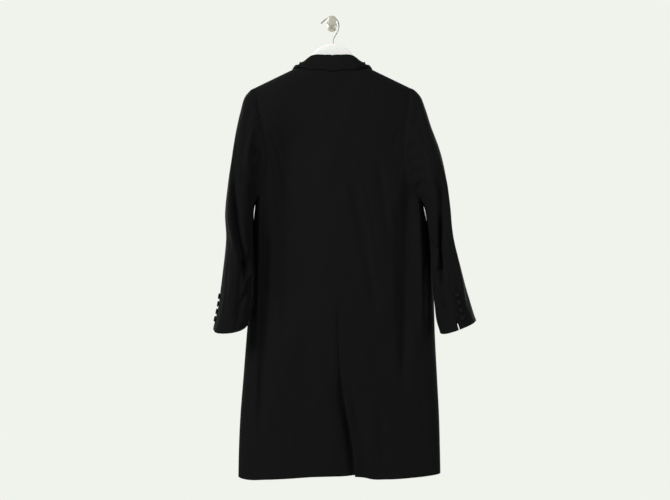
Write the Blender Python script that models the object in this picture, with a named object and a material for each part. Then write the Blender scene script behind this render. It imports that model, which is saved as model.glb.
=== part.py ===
"""A knee-length wool coat on a plain hanger, hung by its wire hook on a wall knob.

The back of the coat faces -Y and its front faces the wall, which is the plane y = 0.
+X is to the right as one looks at the coat's back and +Z is up. The origin is the
centre of the knob's flat foot on the wall. Sizes are in millimetres until add_mesh()
turns them to metres.
"""
import bpy
import bmesh
import numpy as np

MM = 0.001

# Cloth and seams
WALL = 2.4            # thickness of the wool cloth
SEAM = 0.3            # clear gap between two pieces at a seam
LIFT = 0.5            # clear gap between a piece and the panel that it lies on

# Stance
HANGER_Y = -62.0      # plane of the hanger, of the hook and of the shoulder seams
SHOULDER_PEAK = -71.5  # height at which the two shoulder lines would meet
SHOULDER_FALL = 0.48  # drop of the shoulder line for each millimetre outwards
PEAK_ROUND = 3.0      # softness of that peak
SHOULDER_ROUND = 46.0  # depth below the shoulder line at which the body has full depth
SIDE_SQUARE = 2.8     # superellipse exponent of the body's section
SIDE_SKEW = 4         # power with which the sides bend forwards or back
UNDERARM_Z = -440.0
NECK_HALF = 78.0      # half width of the neck between the two shoulder seams
NECK_BACK_Z = -118.0  # height of the neck seam at the middle of the back

# Back vent
VENT_TOP = -824.0
VENT_LAP = 46.0       # width of the underlap
LAP_COLUMNS = 3       # columns of the underlap
LAP_NARROW = 2.5      # width of each of them above the vent
VENT_TUCK = 3.4       # how far the underlap lies behind the right back panel
VENT_GAPE = 130.0     # length over which the vent's two edges come to their full lift
LEFT_LIFT = 4.0      # how far the left panel sinks beside the vent, and over what width
LEFT_LIFT_WIDTH = 40.0
RIGHT_LIFT = 5.0      # how far the right panel's edge stands off, and over what width
RIGHT_LIFT_WIDTH = 22.0

# Front opening
BREAK_Z = -372.0      # where the lapels' roll lines meet the top button
FRONT_SHIFT = 6.0     # how far the line of buttons lies to the right of the middle
ROLL_CURVE = 0.9      # power of the roll line's bend
FRONT_LAP = 38.0      # how far each front reaches past the middle
FRONT_HEM = -1112.0
OVERLAP = WALL + LIFT + 0.6  # depth of one front's outer surface below the other's

# Sleeves
SLEEVE_SQUARE = 0.9   # power of the sleeve's superellipse
CUFF_SLIT = 1.2       # half width of the cuff's vent at the hem
CUFF_TILT = {"left": 12.0, "right": 3.0}  # how much lower the cuff is behind

# Buttons
CUFF_BUTTON = 14.0
CUFF_BUTTONS = 4
CUFF_PITCH = 19.0
CUFF_FIRST = 26.0     # from the sleeve's hem to the lowest button
CUFF_BESIDE = 2.0     # shift of the buttons towards the vent
FRONT_BUTTON = 25.0
FRONT_BUTTONS = 3
FRONT_PITCH = 118.0
FRONT_FIRST = 34.0    # from the break to the top button

# Lapels and collar
LAPEL_PEAK = 10.0     # rise of the lapel's outer corner
LAPEL_PUFF = 2.5      # how far the lapel stands off beside its roll
ROLL_ROUND = 1.4      # extra radius of the collar's roll round its own wall
ROLL_DROP = 2.6       # how far below the roll the stand and the fall begin
FALL_PUFF = 1.5       # how far the fall bows outwards
FALL_CLEAR = 1.3      # clearance of the fall's edge over the shoulders

# Counts of rows and columns
TOP_ROWS = 11         # rows from the shoulder to the underarm
LOW_ROWS = 15         # rows from the underarm to the hem
SETTLE_STEPS = 40     # repeats that settle a panel's columns on its slanting edges
SLEEVE_ROWS = 20
BACK_SEAM = 4         # ring column of a sleeve's back seam
FRONT_SEAM = 18       # ring column of a sleeve's front seam
LAPEL_ROWS = 10
LAPEL_COLUMNS = 6
COLLAR_COLUMNS = 16   # from the middle of the neck to each end
HANGER_RINGS = 41
HOOK_RINGS = 36
BUTTON_SIDES = 14
KNOB_SIDES = 28
SHARP_EDGE = 0.6      # faces that meet at more than this angle, in radians, keep an edge


def table(columns, *rows):
    """Give the rows of a table as one array for each named column."""
    return dict(zip(columns.split(), np.array(rows, dtype=float).T))


BODY = table(
    "z      left    right   depth  skew  seam",
    (-60,   -200.0, 202.0,  43.0,   0.0,  2.5),
    (-170,  -206.0, 209.0,  44.0,   0.0,  4.0),
    (-300,  -200.0, 215.0,  46.0,   0.0,  5.5),
    (-380,  -193.0, 219.0,  46.0,   2.0,  7.0),
    (-440,  -189.0, 223.5,  46.0,   6.0,  9.0),
    (-500,  -194.5, 236.0,  46.0,  16.0, 11.5),
    (-570,  -198.0, 246.0,  46.0,  23.0, 13.5),
    (-690,  -204.5, 253.0,  46.0,  24.0, 15.5),
    (-772,  -211.0, 255.0,  45.0,  18.0, 16.2),
    (-880,  -219.0, 260.0,  44.0,  12.0, 23.0),
    (-970,  -226.0, 264.5,  44.0,  10.0, 38.0),
    (-1050, -229.5, 266.5,  43.0,   8.0, 51.0),
    (-1125, -231.0, 268.0,  43.0,   8.0, 57.0))

ARMHOLE = table(
    "z      left    right",
    (-165,  -187.5, 190.0),
    (-217,  -179.0, 184.5),
    (-280,  -165.5, 176.0),
    (-330,  -159.0, 174.5),
    (-375,  -160.0, 178.0),
    (-410,  -168.0, 190.0),
    (-430,  -179.0, 206.0),
    (-440,  -189.0, 223.5))

HEM = table(
    "x      z",
    (-231,  -1120.0),
    (-222,  -1122.0),
    (-205,  -1123.5),
    (-160,  -1121.0),
    (-115,  -1118.0),
    (-48,   -1113.0),
    (34,    -1111.0),
    (58,    -1110.5),
    (78,    -1113.5),
    (97,    -1118.0),
    (135,   -1118.8),
    (194,   -1116.3),
    (268,   -1111.5))

# A fold row: facing -1 on the back and 1 on the front, its two ends, its half width
# and how far it sinks (or rises, where that is negative).
FOLDS = table(
    "facing x_top  z_top   x_low  z_low   left  right  sink",
    (-1,  -157,  -430,   -178,  -1060,   10,   10,    13.0),
    (-1,  -106,  -190,   -100,   -800,   54,   60,    31.0),
    (-1,  -110,  -200,   -106,   -700,   18,   40,     4.0),
    (-1,  -177,  -360,   -183,   -800,   11,   11,   -22.0),
    (-1,   187,  -340,    172,   -930,   14,   14,    13.0),
    (-1,   216,  -360,    222,   -800,   12,   11,   -22.0),
    (-1,   160,  -430,    167,   -720,   10,   10,     3.5),
    (-1,    41,  -360,    116,   -740,   12,   12,     4.5),
    (-1,   110,  -330,    140,   -540,   11,   11,     4.0),
    (-1,   -60,  -700,    -72,  -1090,   26,   26,     3.0),
    (-1,    86,  -900,    104,  -1110,   14,   14,    -2.6),
    (-1,   112,  -900,    124,  -1112,   14,   14,     2.4),
    (1,   -128,  -470,   -150,  -1060,   20,   20,     6.0),
    (1,    140,  -470,    168,  -1040,   20,   20,     6.0),
    (1,     70,  -640,     84,  -1080,   22,   22,    -3.5))

# A sleeve row: outer and inner edge as seen from behind, y of its middle, half depth,
# and the turn of its seams round the arm in degrees.
SLEEVES = {
    "left": table(
        "outer_x outer_z inner_x inner_z mid_y  half  turn",
        (-187.5, -165,  -189,   -440,   -60,   36,    0),
        (-213.0, -186,  -192.0, -455,   -62,   41,    0),
        (-224.0, -222,  -192.0, -469,   -65,   45,   -1),
        (-234.0, -268,  -191.6, -481,   -69,   48,   -2),
        (-243.5, -330,  -191.5, -504,   -74,   50,   -4),
        (-254.0, -400,  -192.5, -532,   -79,   50,   -8),
        (-261.0, -470,  -193,   -565,   -83,   50,  -14),
        (-257.5, -535,  -194,   -600,   -86,   50,  -22),
        (-263.0, -600,  -195.5, -640,   -87,   50,  -30),
        (-272.0, -670,  -197.5, -685,   -87,   50,  -38),
        (-281.5, -722,  -201.5, -720,   -85,   50,  -44),
        (-289.5, -754,  -206,   -746,   -85,   50,  -48)),
    "right": table(
        "outer_x outer_z inner_x inner_z mid_y  half  turn",
        (190.0,  -165,  223.5,  -440,   -60,   36,    0),
        (216.0,  -184,  230.5,  -457,   -62,   41,    0),
        (229.5,  -217,  231.0,  -471,   -65,   45,    1),
        (243.5,  -262,  231.5,  -484,   -69,   48,    2),
        (265.0,  -322,  233.0,  -503,   -74,   50,    5),
        (278.5,  -385,  236.5,  -532,   -79,   51,    9),
        (286.0,  -455,  241.0,  -565,   -83,   52,   14),
        (293.0,  -525,  244.0,  -600,   -86,   52,   19),
        (311.0,  -595,  246.0,  -640,   -87,   52,   23),
        (329.0,  -660,  249.0,  -685,   -87,   50,   26),
        (343.0,  -707,  255.0,  -728,   -85,   50,   27),
        (351.0,  -733,  266.0,  -766,   -85,   50,   27))}

# A sleeve fold row: where it starts and ends along the sleeve (0 at the armhole and
# 1 at the cuff), its place round the arm in degrees there (0 outside, 90 behind,
# 180 inside, 270 in front), its half width in degrees and its sink.
SLEEVE_FOLDS = {
    "left": table(
        "start  end   at_start at_end  spread  sink",
        (0.40,  0.80,   45,     160,    15,    10.0),
        (0.20,  0.60,  108,     112,    16,     2.0),
        (0.62,  0.98,   98,     122,    14,     5.0),
        (0.40,  0.75,  300,     250,    18,     5.0)),
    "right": table(
        "start  end   at_start at_end  spread  sink",
        (0.34,  0.76,   52,     140,    13,     9.0),
        (0.16,  0.42,   96,      70,    14,     3.5),
        (0.66,  0.98,  126,     118,    13,     4.0),
        (0.40,  0.80,  290,     250,    18,     5.0))}

# A collar row, from the middle of the back to the front end: where the neck seam
# lies (distance from the coat's middle, and drop below the shoulder line, negative
# behind it), how far the roll leans in and rises, whether it rises straight up (0)
# or square to the body (1), and where the fall's edge lies.
COLLAR = table(
    "seam_x  seam_drop  lean  rise  square  fall_x  fall_drop",
    (0,     -42.9,      8.5,  25.0,  0.0,    0,     -56.5),
    (26,    -31.4,      8.0,  26.5,  0.0,   28,     -39.5),
    (50,    -18.6,      6.0,  24.5,  0.1,   53,     -28.0),
    (67,    -8.7,       3.0,  10.5,  0.4,   76,     -10.5),
    (74,    -2.5,       1.0,   7.5,  0.8,   92,      -2.0),
    (73,     9.0,       0.0,   8.5,  1.0,  101,      10.0),
    (68,    27.0,       0.0,   8.5,  1.0,  107,      22.0),
    (62,    46.0,       0.0,   8.0,  1.0,  106,      35.0))

# A lapel row: height, width from the roll line.
LAPEL = table(
    "z      width",
    (-184,  52.0),
    (-194,  74.0),
    (-210,  78.0),
    (-245,  66.0),
    (-300,  43.0),
    (-340,  23.0),
    (-360,  10.0))

# Hanger row: x from its middle, height of the top edge, height of the lower edge,
# half thickness.
HANGER = table(
    "x      top     low     half",
    (0,     -53.0,  -112,   5.0),
    (14,    -55.2,  -112,   5.0),
    (28,    -61.5,  -113,   5.0),
    (42,    -72.0,  -116,   5.2),
    (52,    -84.0,  -121,   5.2),
    (62,    -100.5, -128,   5.0),
    (70,    -111.2, -133,   5.0),
    (84,    -116.3, -138,   5.0),
    (112,   -129.6, -149,   5.0),
    (140,   -143.0, -160,   4.6),
    (163,   -154.3, -168,   3.6),
    (170,   -159.7, -168,   2.6))
HANGER_X = 1.0

# Hook row: the wire's centre line, from its tip to the hanger.
HOOK = table(
    "x      z",
    (-27.0, -5.0),
    (-20.5,  1.5),
    (-11.0,  8.0),
    (0.5,   10.4),
    (10.5,   6.4),
    (16.2,  -3.0),
    (17.2, -14.0),
    (13.6, -25.0),
    (8.0,  -34.5),
    (4.2,  -42.0),
    (3.2,  -52.7))
WIRE = 1.4            # radius of the hook's wire

# Knob row: distance from the wall and radius, along the turned profile.
KNOB = table(
    "out    radius",
    (0.0,   13.0),
    (4.0,   13.0),
    (6.0,    8.7),
    (66.5,   8.7),
    (67.5,  12.4),
    (72.0,  13.0),
    (75.0,  12.0),
    (76.5,   8.0))


def blend(values, at, x):
    """Read a column at x with a smooth curve (cubic Hermite through the rows)."""
    order = np.argsort(at)
    at, values = np.asarray(at)[order], np.asarray(values)[order]
    slopes = np.gradient(values, at)
    x = np.clip(x, at[0], at[-1])
    i = np.clip(np.searchsorted(at, x) - 1, 0, len(at) - 2)
    step = at[i + 1] - at[i]
    t = (x - at[i]) / step
    return ((2 * t**3 - 3 * t**2 + 1) * values[i] + (t**3 - 2 * t**2 + t) * step * slopes[i]
            + (3 * t**2 - 2 * t**3) * values[i + 1] + (t**3 - t**2) * step * slopes[i + 1])


def ramp(low, high, x):
    """Rise smoothly from 0 at low to 1 at high."""
    t = np.clip((x - low) / (high - low), 0.0, 1.0)
    return t * t * (3 - 2 * t)


def unit(vectors):
    """Scale vectors to length one."""
    return vectors / np.maximum(np.linalg.norm(vectors, axis=-1, keepdims=True), 1e-9)


def body(column, z):
    """Read a column of the BODY table at a height."""
    return blend(BODY[column], BODY["z"], z)


def shoulder_line(x):
    """Height of the shoulder line over x: two straight slopes that meet in a soft peak."""
    return SHOULDER_PEAK - SHOULDER_FALL * np.sqrt((x - HANGER_X)**2 + PEAK_ROUND**2)


def fold_sink(x, z, facing):
    """Sum of the folds at a place: each is a bell across its line, soft at both ends."""
    total = np.zeros_like(x * z)
    for i in range(len(FOLDS["facing"])):
        z_top, z_low = FOLDS["z_top"][i], FOLDS["z_low"][i]
        along = (z_top - z) / (z_top - z_low)
        line = FOLDS["x_top"][i] + (FOLDS["x_low"][i] - FOLDS["x_top"][i]) * along
        ends = ramp(0, 0.25, along) * ramp(1, 0.75, along)
        here = np.where(facing == FOLDS["facing"][i], FOLDS["sink"][i], 0.0)
        wide = np.where(x < line, FOLDS["left"][i], FOLDS["right"][i])
        total += here * ends * np.exp(-((x - line) / wide)**2)
    return total


def skin_y(x, z, facing):
    """Outer surface of the body: a superellipse section that closes over the shoulders."""
    left, right = body("left", z), body("right", z)
    across = np.clip(np.abs(x - (left + right) / 2) / ((right - left) / 2), 0, 1)
    fullness = (1 - across**SIDE_SQUARE)**(1 / SIDE_SQUARE)
    drop = np.clip((shoulder_line(x) - z) / SHOULDER_ROUND, 0, 1)
    arch = np.sqrt(1 - (1 - drop)**2)
    depth = (body("depth", z) - fold_sink(x, z, facing)) * fullness * arch
    return HANGER_Y + body("skew", z) * across**SIDE_SKEW + facing * depth


def skin(x, z, facing):
    """Points of the outer surface, as an array of x, y and z."""
    x, z = np.broadcast_arrays(x, z)
    return np.stack([x, skin_y(x, z, facing), z], axis=-1)


def on_shoulder(x, drop):
    """Point of the outer surface by its drop below the shoulder line, negative behind."""
    facing = np.where(drop < 0, -1.0, 1.0)
    z = shoulder_line(x) - np.abs(drop)
    return np.stack([x, skin_y(x, z, facing), z], axis=-1)


def shoulder_normal(x, drop):
    """Outward unit normal at such a point, from small steps both ways."""
    step = 2.0
    across = on_shoulder(x + step, drop) - on_shoulder(x - step, drop)
    along = on_shoulder(x, drop + step) - on_shoulder(x, drop - step)
    return unit(np.cross(across, along))


def add_mesh(name, points, faces, material):
    """Make an object from points in millimetres; faces are turned outwards."""
    mesh = bpy.data.meshes.new(name)
    mesh.from_pydata((np.asarray(points, float) * MM).tolist(), [], faces)
    work = bmesh.new()
    work.from_mesh(mesh)
    bmesh.ops.triangulate(work, faces=[f for f in work.faces if len(f.verts) > 3])
    if work.calc_volume(signed=True) < 0:
        bmesh.ops.reverse_faces(work, faces=work.faces)
    work.to_mesh(mesh)
    work.free()
    mesh.shade_smooth()
    mesh.set_sharp_from_angle(angle=SHARP_EDGE)
    mesh.materials.append(material)
    piece = bpy.data.objects.new(name, mesh)
    bpy.context.scene.collection.objects.link(piece)
    return piece


def grid_normals(grid):
    """Unit normals of a grid of points, from the differences along and across it."""
    return unit(np.cross(np.gradient(grid, axis=0), np.gradient(grid, axis=1)))


def shell(name, outer, inner, material):
    """Closed wall between an outer and an inner grid of the same shape."""
    rows, cols = outer.shape[:2]
    index = np.arange(rows * cols).reshape(rows, cols)
    back = index + rows * cols
    faces = [(a, b, c, d) for a, b, c, d in zip(
        index[:-1, :-1].ravel(), index[:-1, 1:].ravel(), index[1:, 1:].ravel(), index[1:, :-1].ravel())]
    faces += [(d, c, b, a) for a, b, c, d in zip(
        back[:-1, :-1].ravel(), back[:-1, 1:].ravel(), back[1:, 1:].ravel(), back[1:, :-1].ravel())]
    rim = np.concatenate([index[0, :-1], index[:-1, -1], index[-1, :0:-1], index[:0:-1, 0]])
    after = np.roll(rim, -1)
    shift = rows * cols
    faces += [(b, a, a + shift, b + shift) for a, b in zip(rim, after)]
    points = np.concatenate([outer.reshape(-1, 3), inner.reshape(-1, 3)])
    return add_mesh(name, points, [tuple(int(i) for i in f) for f in faces], material)


def tube(name, path, radius, material, sides=8):
    """Round wire along a path, with flat ends."""
    along = unit(np.gradient(path, axis=0))
    across = unit(np.cross(along, np.array([0.0, 1.0, 0.0])))
    third = np.cross(along, across)
    angle = np.linspace(0, 2 * np.pi, sides, endpoint=False)[None, :, None]
    rings = path[:, None] + radius * (np.cos(angle) * across[:, None] + np.sin(angle) * third[:, None])
    return lofted(name, rings, material)


def lofted(name, rings, material):
    """Closed solid through a stack of rings, capped at both ends."""
    count, sides = rings.shape[:2]
    faces = []
    for i in range(count - 1):
        for j in range(sides):
            k = (j + 1) % sides
            faces.append((i * sides + j, i * sides + k, (i + 1) * sides + k, (i + 1) * sides + j))
    faces.append(tuple(range(sides))[::-1])
    faces.append(tuple(range((count - 1) * sides, count * sides)))
    return add_mesh(name, rings.reshape(-1, 3), faces, material)


def turned(name, heights, radii, centre, axis, material, sides=20):
    """Solid of revolution: a profile of heights and radii turned about an axis."""
    axis = unit(np.asarray(axis, float))
    side = unit(np.cross(axis, [0.0, 0.0, 1.0] if abs(axis[2]) < 0.9 else [1.0, 0.0, 0.0]))
    third = np.cross(axis, side)
    angle = np.linspace(0, 2 * np.pi, sides, endpoint=False)[None, :, None]
    rings = (np.asarray(centre) + np.asarray(heights)[:, None, None] * axis
             + np.asarray(radii)[:, None, None] * (np.cos(angle) * side + np.sin(angle) * third))
    return lofted(name, rings, material)


def material(name, colour, roughness, metallic=0.0):
    """Principled material with one colour."""
    made = bpy.data.materials.new(name)
    made.use_nodes = True
    made.diffuse_color = (*colour, 1.0)
    shader = made.node_tree.nodes["Principled BSDF"]
    shader.inputs["Base Color"].default_value = (*colour, 1.0)
    shader.inputs["Roughness"].default_value = roughness
    shader.inputs["Metallic"].default_value = metallic
    return made


TOP_STEPS = (1 - np.cos(np.pi * np.arange(TOP_ROWS + 1) / TOP_ROWS)) / 2
LOW_STEPS = np.arange(1, LOW_ROWS + 1) / LOW_ROWS


def panel_grid(columns, inner_edge, side, top, low):
    """Places (x, z) of a panel: columns run from its inner edge to its side edge.

    Above the underarm the rows run from the top edge to the underarm's height and
    the side edge is the armhole. Below, they run on to the hem and the side edge is
    the side seam.
    """
    frac = np.asarray(columns)[None, :]
    steps = np.concatenate([TOP_STEPS, 1 + LOW_STEPS])[:, None]
    z = np.full((steps.shape[0], frac.shape[1]), UNDERARM_Z)
    for _ in range(SETTLE_STEPS):
        outer_edge = np.where(z > UNDERARM_Z, blend(ARMHOLE[side], ARMHOLE["z"], z), body(side, z))
        x = inner_edge(z) + (outer_edge - inner_edge(z)) * frac
        upper = top(x) + (UNDERARM_Z - top(x)) * np.minimum(steps, 1)
        z = np.where(steps <= 1, upper, UNDERARM_Z + (low(x) - UNDERARM_Z) * (steps - 1))
    return x, z


def finish_panel(name, grid, side, facing, colour, seam_x=False, top_from=0.0):
    """Give a panel's grid its wall and its seam gaps, and make the object.

    The last column is the armhole above the underarm and the side seam below. The
    first column is the centre-back seam where seam_x is set. Along the shoulder seam
    and the side seam the wall is cut square to the seam, so that two panels meet
    face to face.
    """
    normals = grid_normals(grid)
    if np.mean(normals[..., 1]) * facing < 0:
        normals = -normals
    normals[TOP_ROWS:, -1, 1] = 0.0
    shoulder = np.abs(grid[0, :, 0] - HANGER_X) >= top_from - 0.5
    normals[0, shoulder, 1] = 0.0
    if seam_x:
        normals[:, 0, 0] = 0.0
    normals = unit(normals)
    outer = grid.copy()
    outer[TOP_ROWS:, -1, 1] += facing * SEAM / 2
    outer[0, shoulder, 1] += facing * SEAM / 2
    if seam_x:
        outer[:, 0, 0] += (SEAM / 2) * (1 if side == "right" else -1)
    inner = outer - WALL * normals
    shell(name, outer, inner, colour)
    return outer, normals


BACK_COLUMNS = np.array([0, .09, .18, .27, .345, .415, .49, .56, .63, .69, .74, .785, .825, .865, .91, .955, 1])
NECK_COLUMN = 5
FRONT_COLUMNS = (BACK_COLUMNS[NECK_COLUMN:] - BACK_COLUMNS[NECK_COLUMN]) / (1 - BACK_COLUMNS[NECK_COLUMN])


def back_top(x):
    """Top edge of the back: the shoulder line, cut out at the neck by half an ellipse."""
    inside = np.clip(np.abs(x - HANGER_X) / NECK_HALF, 0, 1)
    rise = shoulder_line(HANGER_X + NECK_HALF) - NECK_BACK_Z
    neck = NECK_BACK_Z + rise * (1 - np.sqrt(1 - inside**2))
    return np.where(inside < 1, neck, shoulder_line(x))


def hem_line(x):
    """Lower edge of the back panels."""
    return blend(HEM["z"], HEM["x"], x)


def back_panels(colour):
    """Two back panels; below the vent's top the left one runs on behind the right one."""
    edges = {}
    for side in ("left", "right"):
        def inner_edge(z):
            narrow = LAP_NARROW * LAP_COLUMNS * (1 - ramp(VENT_TOP + 60, VENT_TOP, z))
            return body("seam", z) - (narrow if side == "left" else 0.0)
        x, z = panel_grid(BACK_COLUMNS, inner_edge, side, back_top, hem_line)
        if side == "left":
            wide = VENT_LAP / LAP_COLUMNS
            width = LAP_NARROW + (wide - LAP_NARROW) * ramp(VENT_TOP + 5, VENT_TOP - 55, z[:, :1])
            x = np.concatenate([x[:, :1] + np.arange(LAP_COLUMNS, 0, -1) * width, x], axis=1)
            z = np.concatenate([np.repeat(z[:, :1], LAP_COLUMNS, axis=1), z], axis=1)
        grid = skin(x, z, -1)
        gape = ramp(VENT_TOP, VENT_TOP - VENT_GAPE, z)
        from_edge = np.abs(x - body("seam", z))
        if side == "left":
            past = ramp(-16, 0, x - body("seam", z)) * ramp(VENT_TOP + 150, VENT_TOP + 80, z)
            grid[..., 1] += VENT_TUCK * past + LEFT_LIFT * gape * np.exp(-(from_edge / LEFT_LIFT_WIDTH)**2)
        else:
            grid[..., 1] -= RIGHT_LIFT * gape * np.exp(-(from_edge / RIGHT_LIFT_WIDTH)**2)
        edges[side] = finish_panel("back_" + side, grid, side, -1, colour, True, NECK_HALF)
    return edges


def roll_line(z, sign):
    """Inner edge of a front above the break: the line on which the lapel rolls."""
    top = shoulder_line(HANGER_X + sign * NECK_HALF)
    share = np.clip((z - BREAK_Z) / (top - BREAK_Z), 0, 1)
    return HANGER_X + FRONT_SHIFT + sign * (NECK_HALF - sign * FRONT_SHIFT) * share**ROLL_CURVE


def front_lap(x, z, side):
    """How far a front leaves the body's surface to pass over or under the other."""
    near = ramp(75, 48, np.abs(x - roll_line(z, -1 if side == "left" else 1)))
    off = near * ramp(BREAK_Z + 120, BREAK_Z + 60, z) * OVERLAP / 2
    return off if side == "right" else -off


def front_panels(colour):
    """Two fronts; below the break each runs past the middle, right over left."""
    edges = {}
    for side, sign in (("left", -1), ("right", 1)):
        def inner_edge(z):
            lap = FRONT_LAP * ramp(BREAK_Z + 45, BREAK_Z - 30, z)
            return roll_line(z, sign) - sign * lap
        x, z = panel_grid(FRONT_COLUMNS, inner_edge, side, shoulder_line,
                          lambda x: np.full_like(x, FRONT_HEM))
        grid = skin(x, z, 1)
        grid[..., 1] += front_lap(x, z, side)
        edges[side] = finish_panel("front_" + side, grid, side, 1, colour, False, NECK_HALF)
    return edges


def armhole_loop(back, front):
    """Loop of the armhole from the shoulder down the back edge and up the front edge."""
    back_edge, front_edge = back[0][:TOP_ROWS + 1, -1], front[0][:TOP_ROWS + 1, -1]
    loop = np.concatenate([back_edge, front_edge[-2:0:-1]])
    loop[0, 1] = loop[TOP_ROWS, 1] = 0
    loop[0] = (back_edge[0] + front_edge[0]) / 2
    loop[TOP_ROWS] = (back_edge[-1] + front_edge[-1]) / 2
    inward = np.concatenate([(back[0][:TOP_ROWS + 1, -2] - back_edge),
                             (front[0][:TOP_ROWS + 1, -2] - front_edge)[-2:0:-1]])
    inward[TOP_ROWS] = back[0][TOP_ROWS + 1, -1] - back_edge[-1]
    normal = np.concatenate([back[1][:TOP_ROWS + 1, -1], front[1][:TOP_ROWS + 1, -1][-2:0:-1]])
    tangent = unit(np.roll(loop, -1, axis=0) - np.roll(loop, 1, axis=0))
    square = unit(np.cross(tangent, normal))
    square *= np.sign(np.sum(square * inward, axis=1, keepdims=True))
    return loop, square


def sleeve_rings(side, loop):
    """Rings of a sleeve from the armhole to the cuff.

    Each ring is a superellipse whose first axis runs from the sleeve's inner to its
    outer edge and whose second axis is the depth. What the armhole differs from the
    first ring is added to it and fades out down the sleeve.
    """
    rows = SLEEVES[side]
    station = np.linspace(0, 1, len(rows["outer_x"]))
    v = np.concatenate([station[:1], np.linspace(station[1], 1, SLEEVE_ROWS)])
    read = {name: blend(values, station, v)[:, None] for name, values in rows.items()}
    count = 2 * TOP_ROWS
    angle = 2 * np.pi * np.arange(count)[None, :] / count + np.radians(read["turn"])
    cos, sin = np.cos(angle), np.sin(angle)
    cos_s = np.sign(cos) * np.abs(cos)**SLEEVE_SQUARE
    sin_s = np.sign(sin) * np.abs(sin)**SLEEVE_SQUARE
    fold = np.zeros_like(angle)
    folds = SLEEVE_FOLDS[side]
    for i in range(len(folds["start"])):
        along = (v[:, None] - folds["start"][i]) / (folds["end"][i] - folds["start"][i])
        line = folds["at_start"][i] + (folds["at_end"][i] - folds["at_start"][i]) * along
        off = (np.degrees(angle) - line + 180) % 360 - 180
        ends = ramp(0, 0.3, along) * ramp(1, 0.7, along)
        fold += folds["sink"][i] * ends * np.exp(-(off / folds["spread"][i])**2)
    outer = np.stack([read["outer_x"], read["mid_y"], read["outer_z"]], -1)
    inner = np.stack([read["inner_x"], read["mid_y"], read["inner_z"]], -1)
    middle, reach = (outer + inner) / 2, (outer - inner) / 2
    size = np.linalg.norm(reach, axis=-1, keepdims=True)
    shrink = (1 - fold / np.maximum(size[..., 0], 30))[..., None]
    depth = (read["half"][..., None] * sin_s[..., None]) * np.array([0, -1.0, 0])
    rings = middle + shrink * (reach * cos_s[..., None] + depth)
    low = ramp(0.7, 1.0, v)[:, None] * CUFF_TILT[side]
    rings[..., 2] -= low * sin
    v_column = v[:, None, None]
    sooner_inside = (1 - 0.5 * ramp(0, -1, cos[:1]))[..., None]**(12 * v_column)
    fade = (1 - ramp(0, 0.45, v_column)) * sooner_inside
    return rings + fade * (loop - rings[0])[None], v


def sleeve(side, loop, square, colour):
    """Top and under sleeve, cut from one tube at the back seam and the front seam."""
    rings, v = sleeve_rings(side, loop)
    rings[0] = rings[0] - SEAM * square
    wrapped = np.concatenate([rings[:, -2:], rings, rings[:, :2]], axis=1)
    normals = grid_normals(wrapped)[:, 2:-2]
    outwards = rings - rings.mean(axis=1, keepdims=True)
    if np.sum(normals * outwards) < 0:
        normals = -normals
    towards_body = np.minimum(np.sum(normals[0] * square, axis=1, keepdims=True), 0.0)
    normals[0] = unit(normals[0] - towards_body * square)
    count = rings.shape[1]
    pieces = {"under": np.arange(BACK_SEAM, FRONT_SEAM + 1),
              "top": np.arange(FRONT_SEAM, count + BACK_SEAM + 1) % count}
    for part, columns in pieces.items():
        outer = rings[:, columns].copy()
        facing = normals[:, columns].copy()
        slit = SEAM / 2 + CUFF_SLIT * ramp(0.86, 1.0, v)[:, None]
        for edge, towards in ((0, 1), (-1, -2)):
            pull = unit(outer[:, towards] - outer[:, edge])
            pull -= np.sum(pull * facing[:, edge], axis=1, keepdims=True) * facing[:, edge]
            wide = slit if columns[edge] == BACK_SEAM else SEAM / 2
            outer[:, edge] += unit(pull) * wide
        shell(f"sleeve_{side}_{part}", outer, outer - WALL * facing, colour)
    return rings, normals


def sew_button(name, centre, axis, width, colour):
    """Round button with a raised rim and a dished middle."""
    half = width / 2
    thick = 0.16 * width + 1.0
    heights = [0.0, 0.35 * thick, 0.85 * thick, thick, 0.9 * thick, 0.6 * thick, 0.6 * thick]
    radii = [0.80 * half, half, half, 0.9 * half, 0.78 * half, 0.66 * half, 0.2 * half]
    turned(name, heights, radii, centre, axis, colour, BUTTON_SIDES)


def cuff_buttons(side, rings, normals, colour):
    """A row of buttons on the top sleeve beside the back seam, up from the cuff."""
    column = BACK_SEAM - 1
    line, outward = rings[:, column], normals[:, column]
    seam = rings[:, BACK_SEAM]
    length = np.concatenate([[0], np.cumsum(np.linalg.norm(np.diff(line, axis=0), axis=1))])
    for i in range(CUFF_BUTTONS):
        at = length[-1] - CUFF_FIRST - i * CUFF_PITCH
        place = np.array([np.interp(at, length, line[:, k]) for k in range(3)])
        beside = np.array([np.interp(at, length, seam[:, k]) for k in range(3)])
        axis = unit(np.array([np.interp(at, length, outward[:, k]) for k in range(3)]))
        place = place + unit(beside - place) * CUFF_BESIDE
        sew_button(f"cuff_button_{side}_{i + 1}", place + axis * LIFT, axis, CUFF_BUTTON, colour)


def front_buttons(colour):
    """Buttons down the overlapped fronts."""
    for i in range(FRONT_BUTTONS):
        x, z = HANGER_X + FRONT_SHIFT, BREAK_Z - FRONT_FIRST - i * FRONT_PITCH
        y = float(skin_y(np.array(x), np.array(z), 1)) + OVERLAP / 2 + LIFT + 0.2
        sew_button(f"front_button_{i + 1}", (x, y, z), (0, 1, 0), FRONT_BUTTON, colour)


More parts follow.
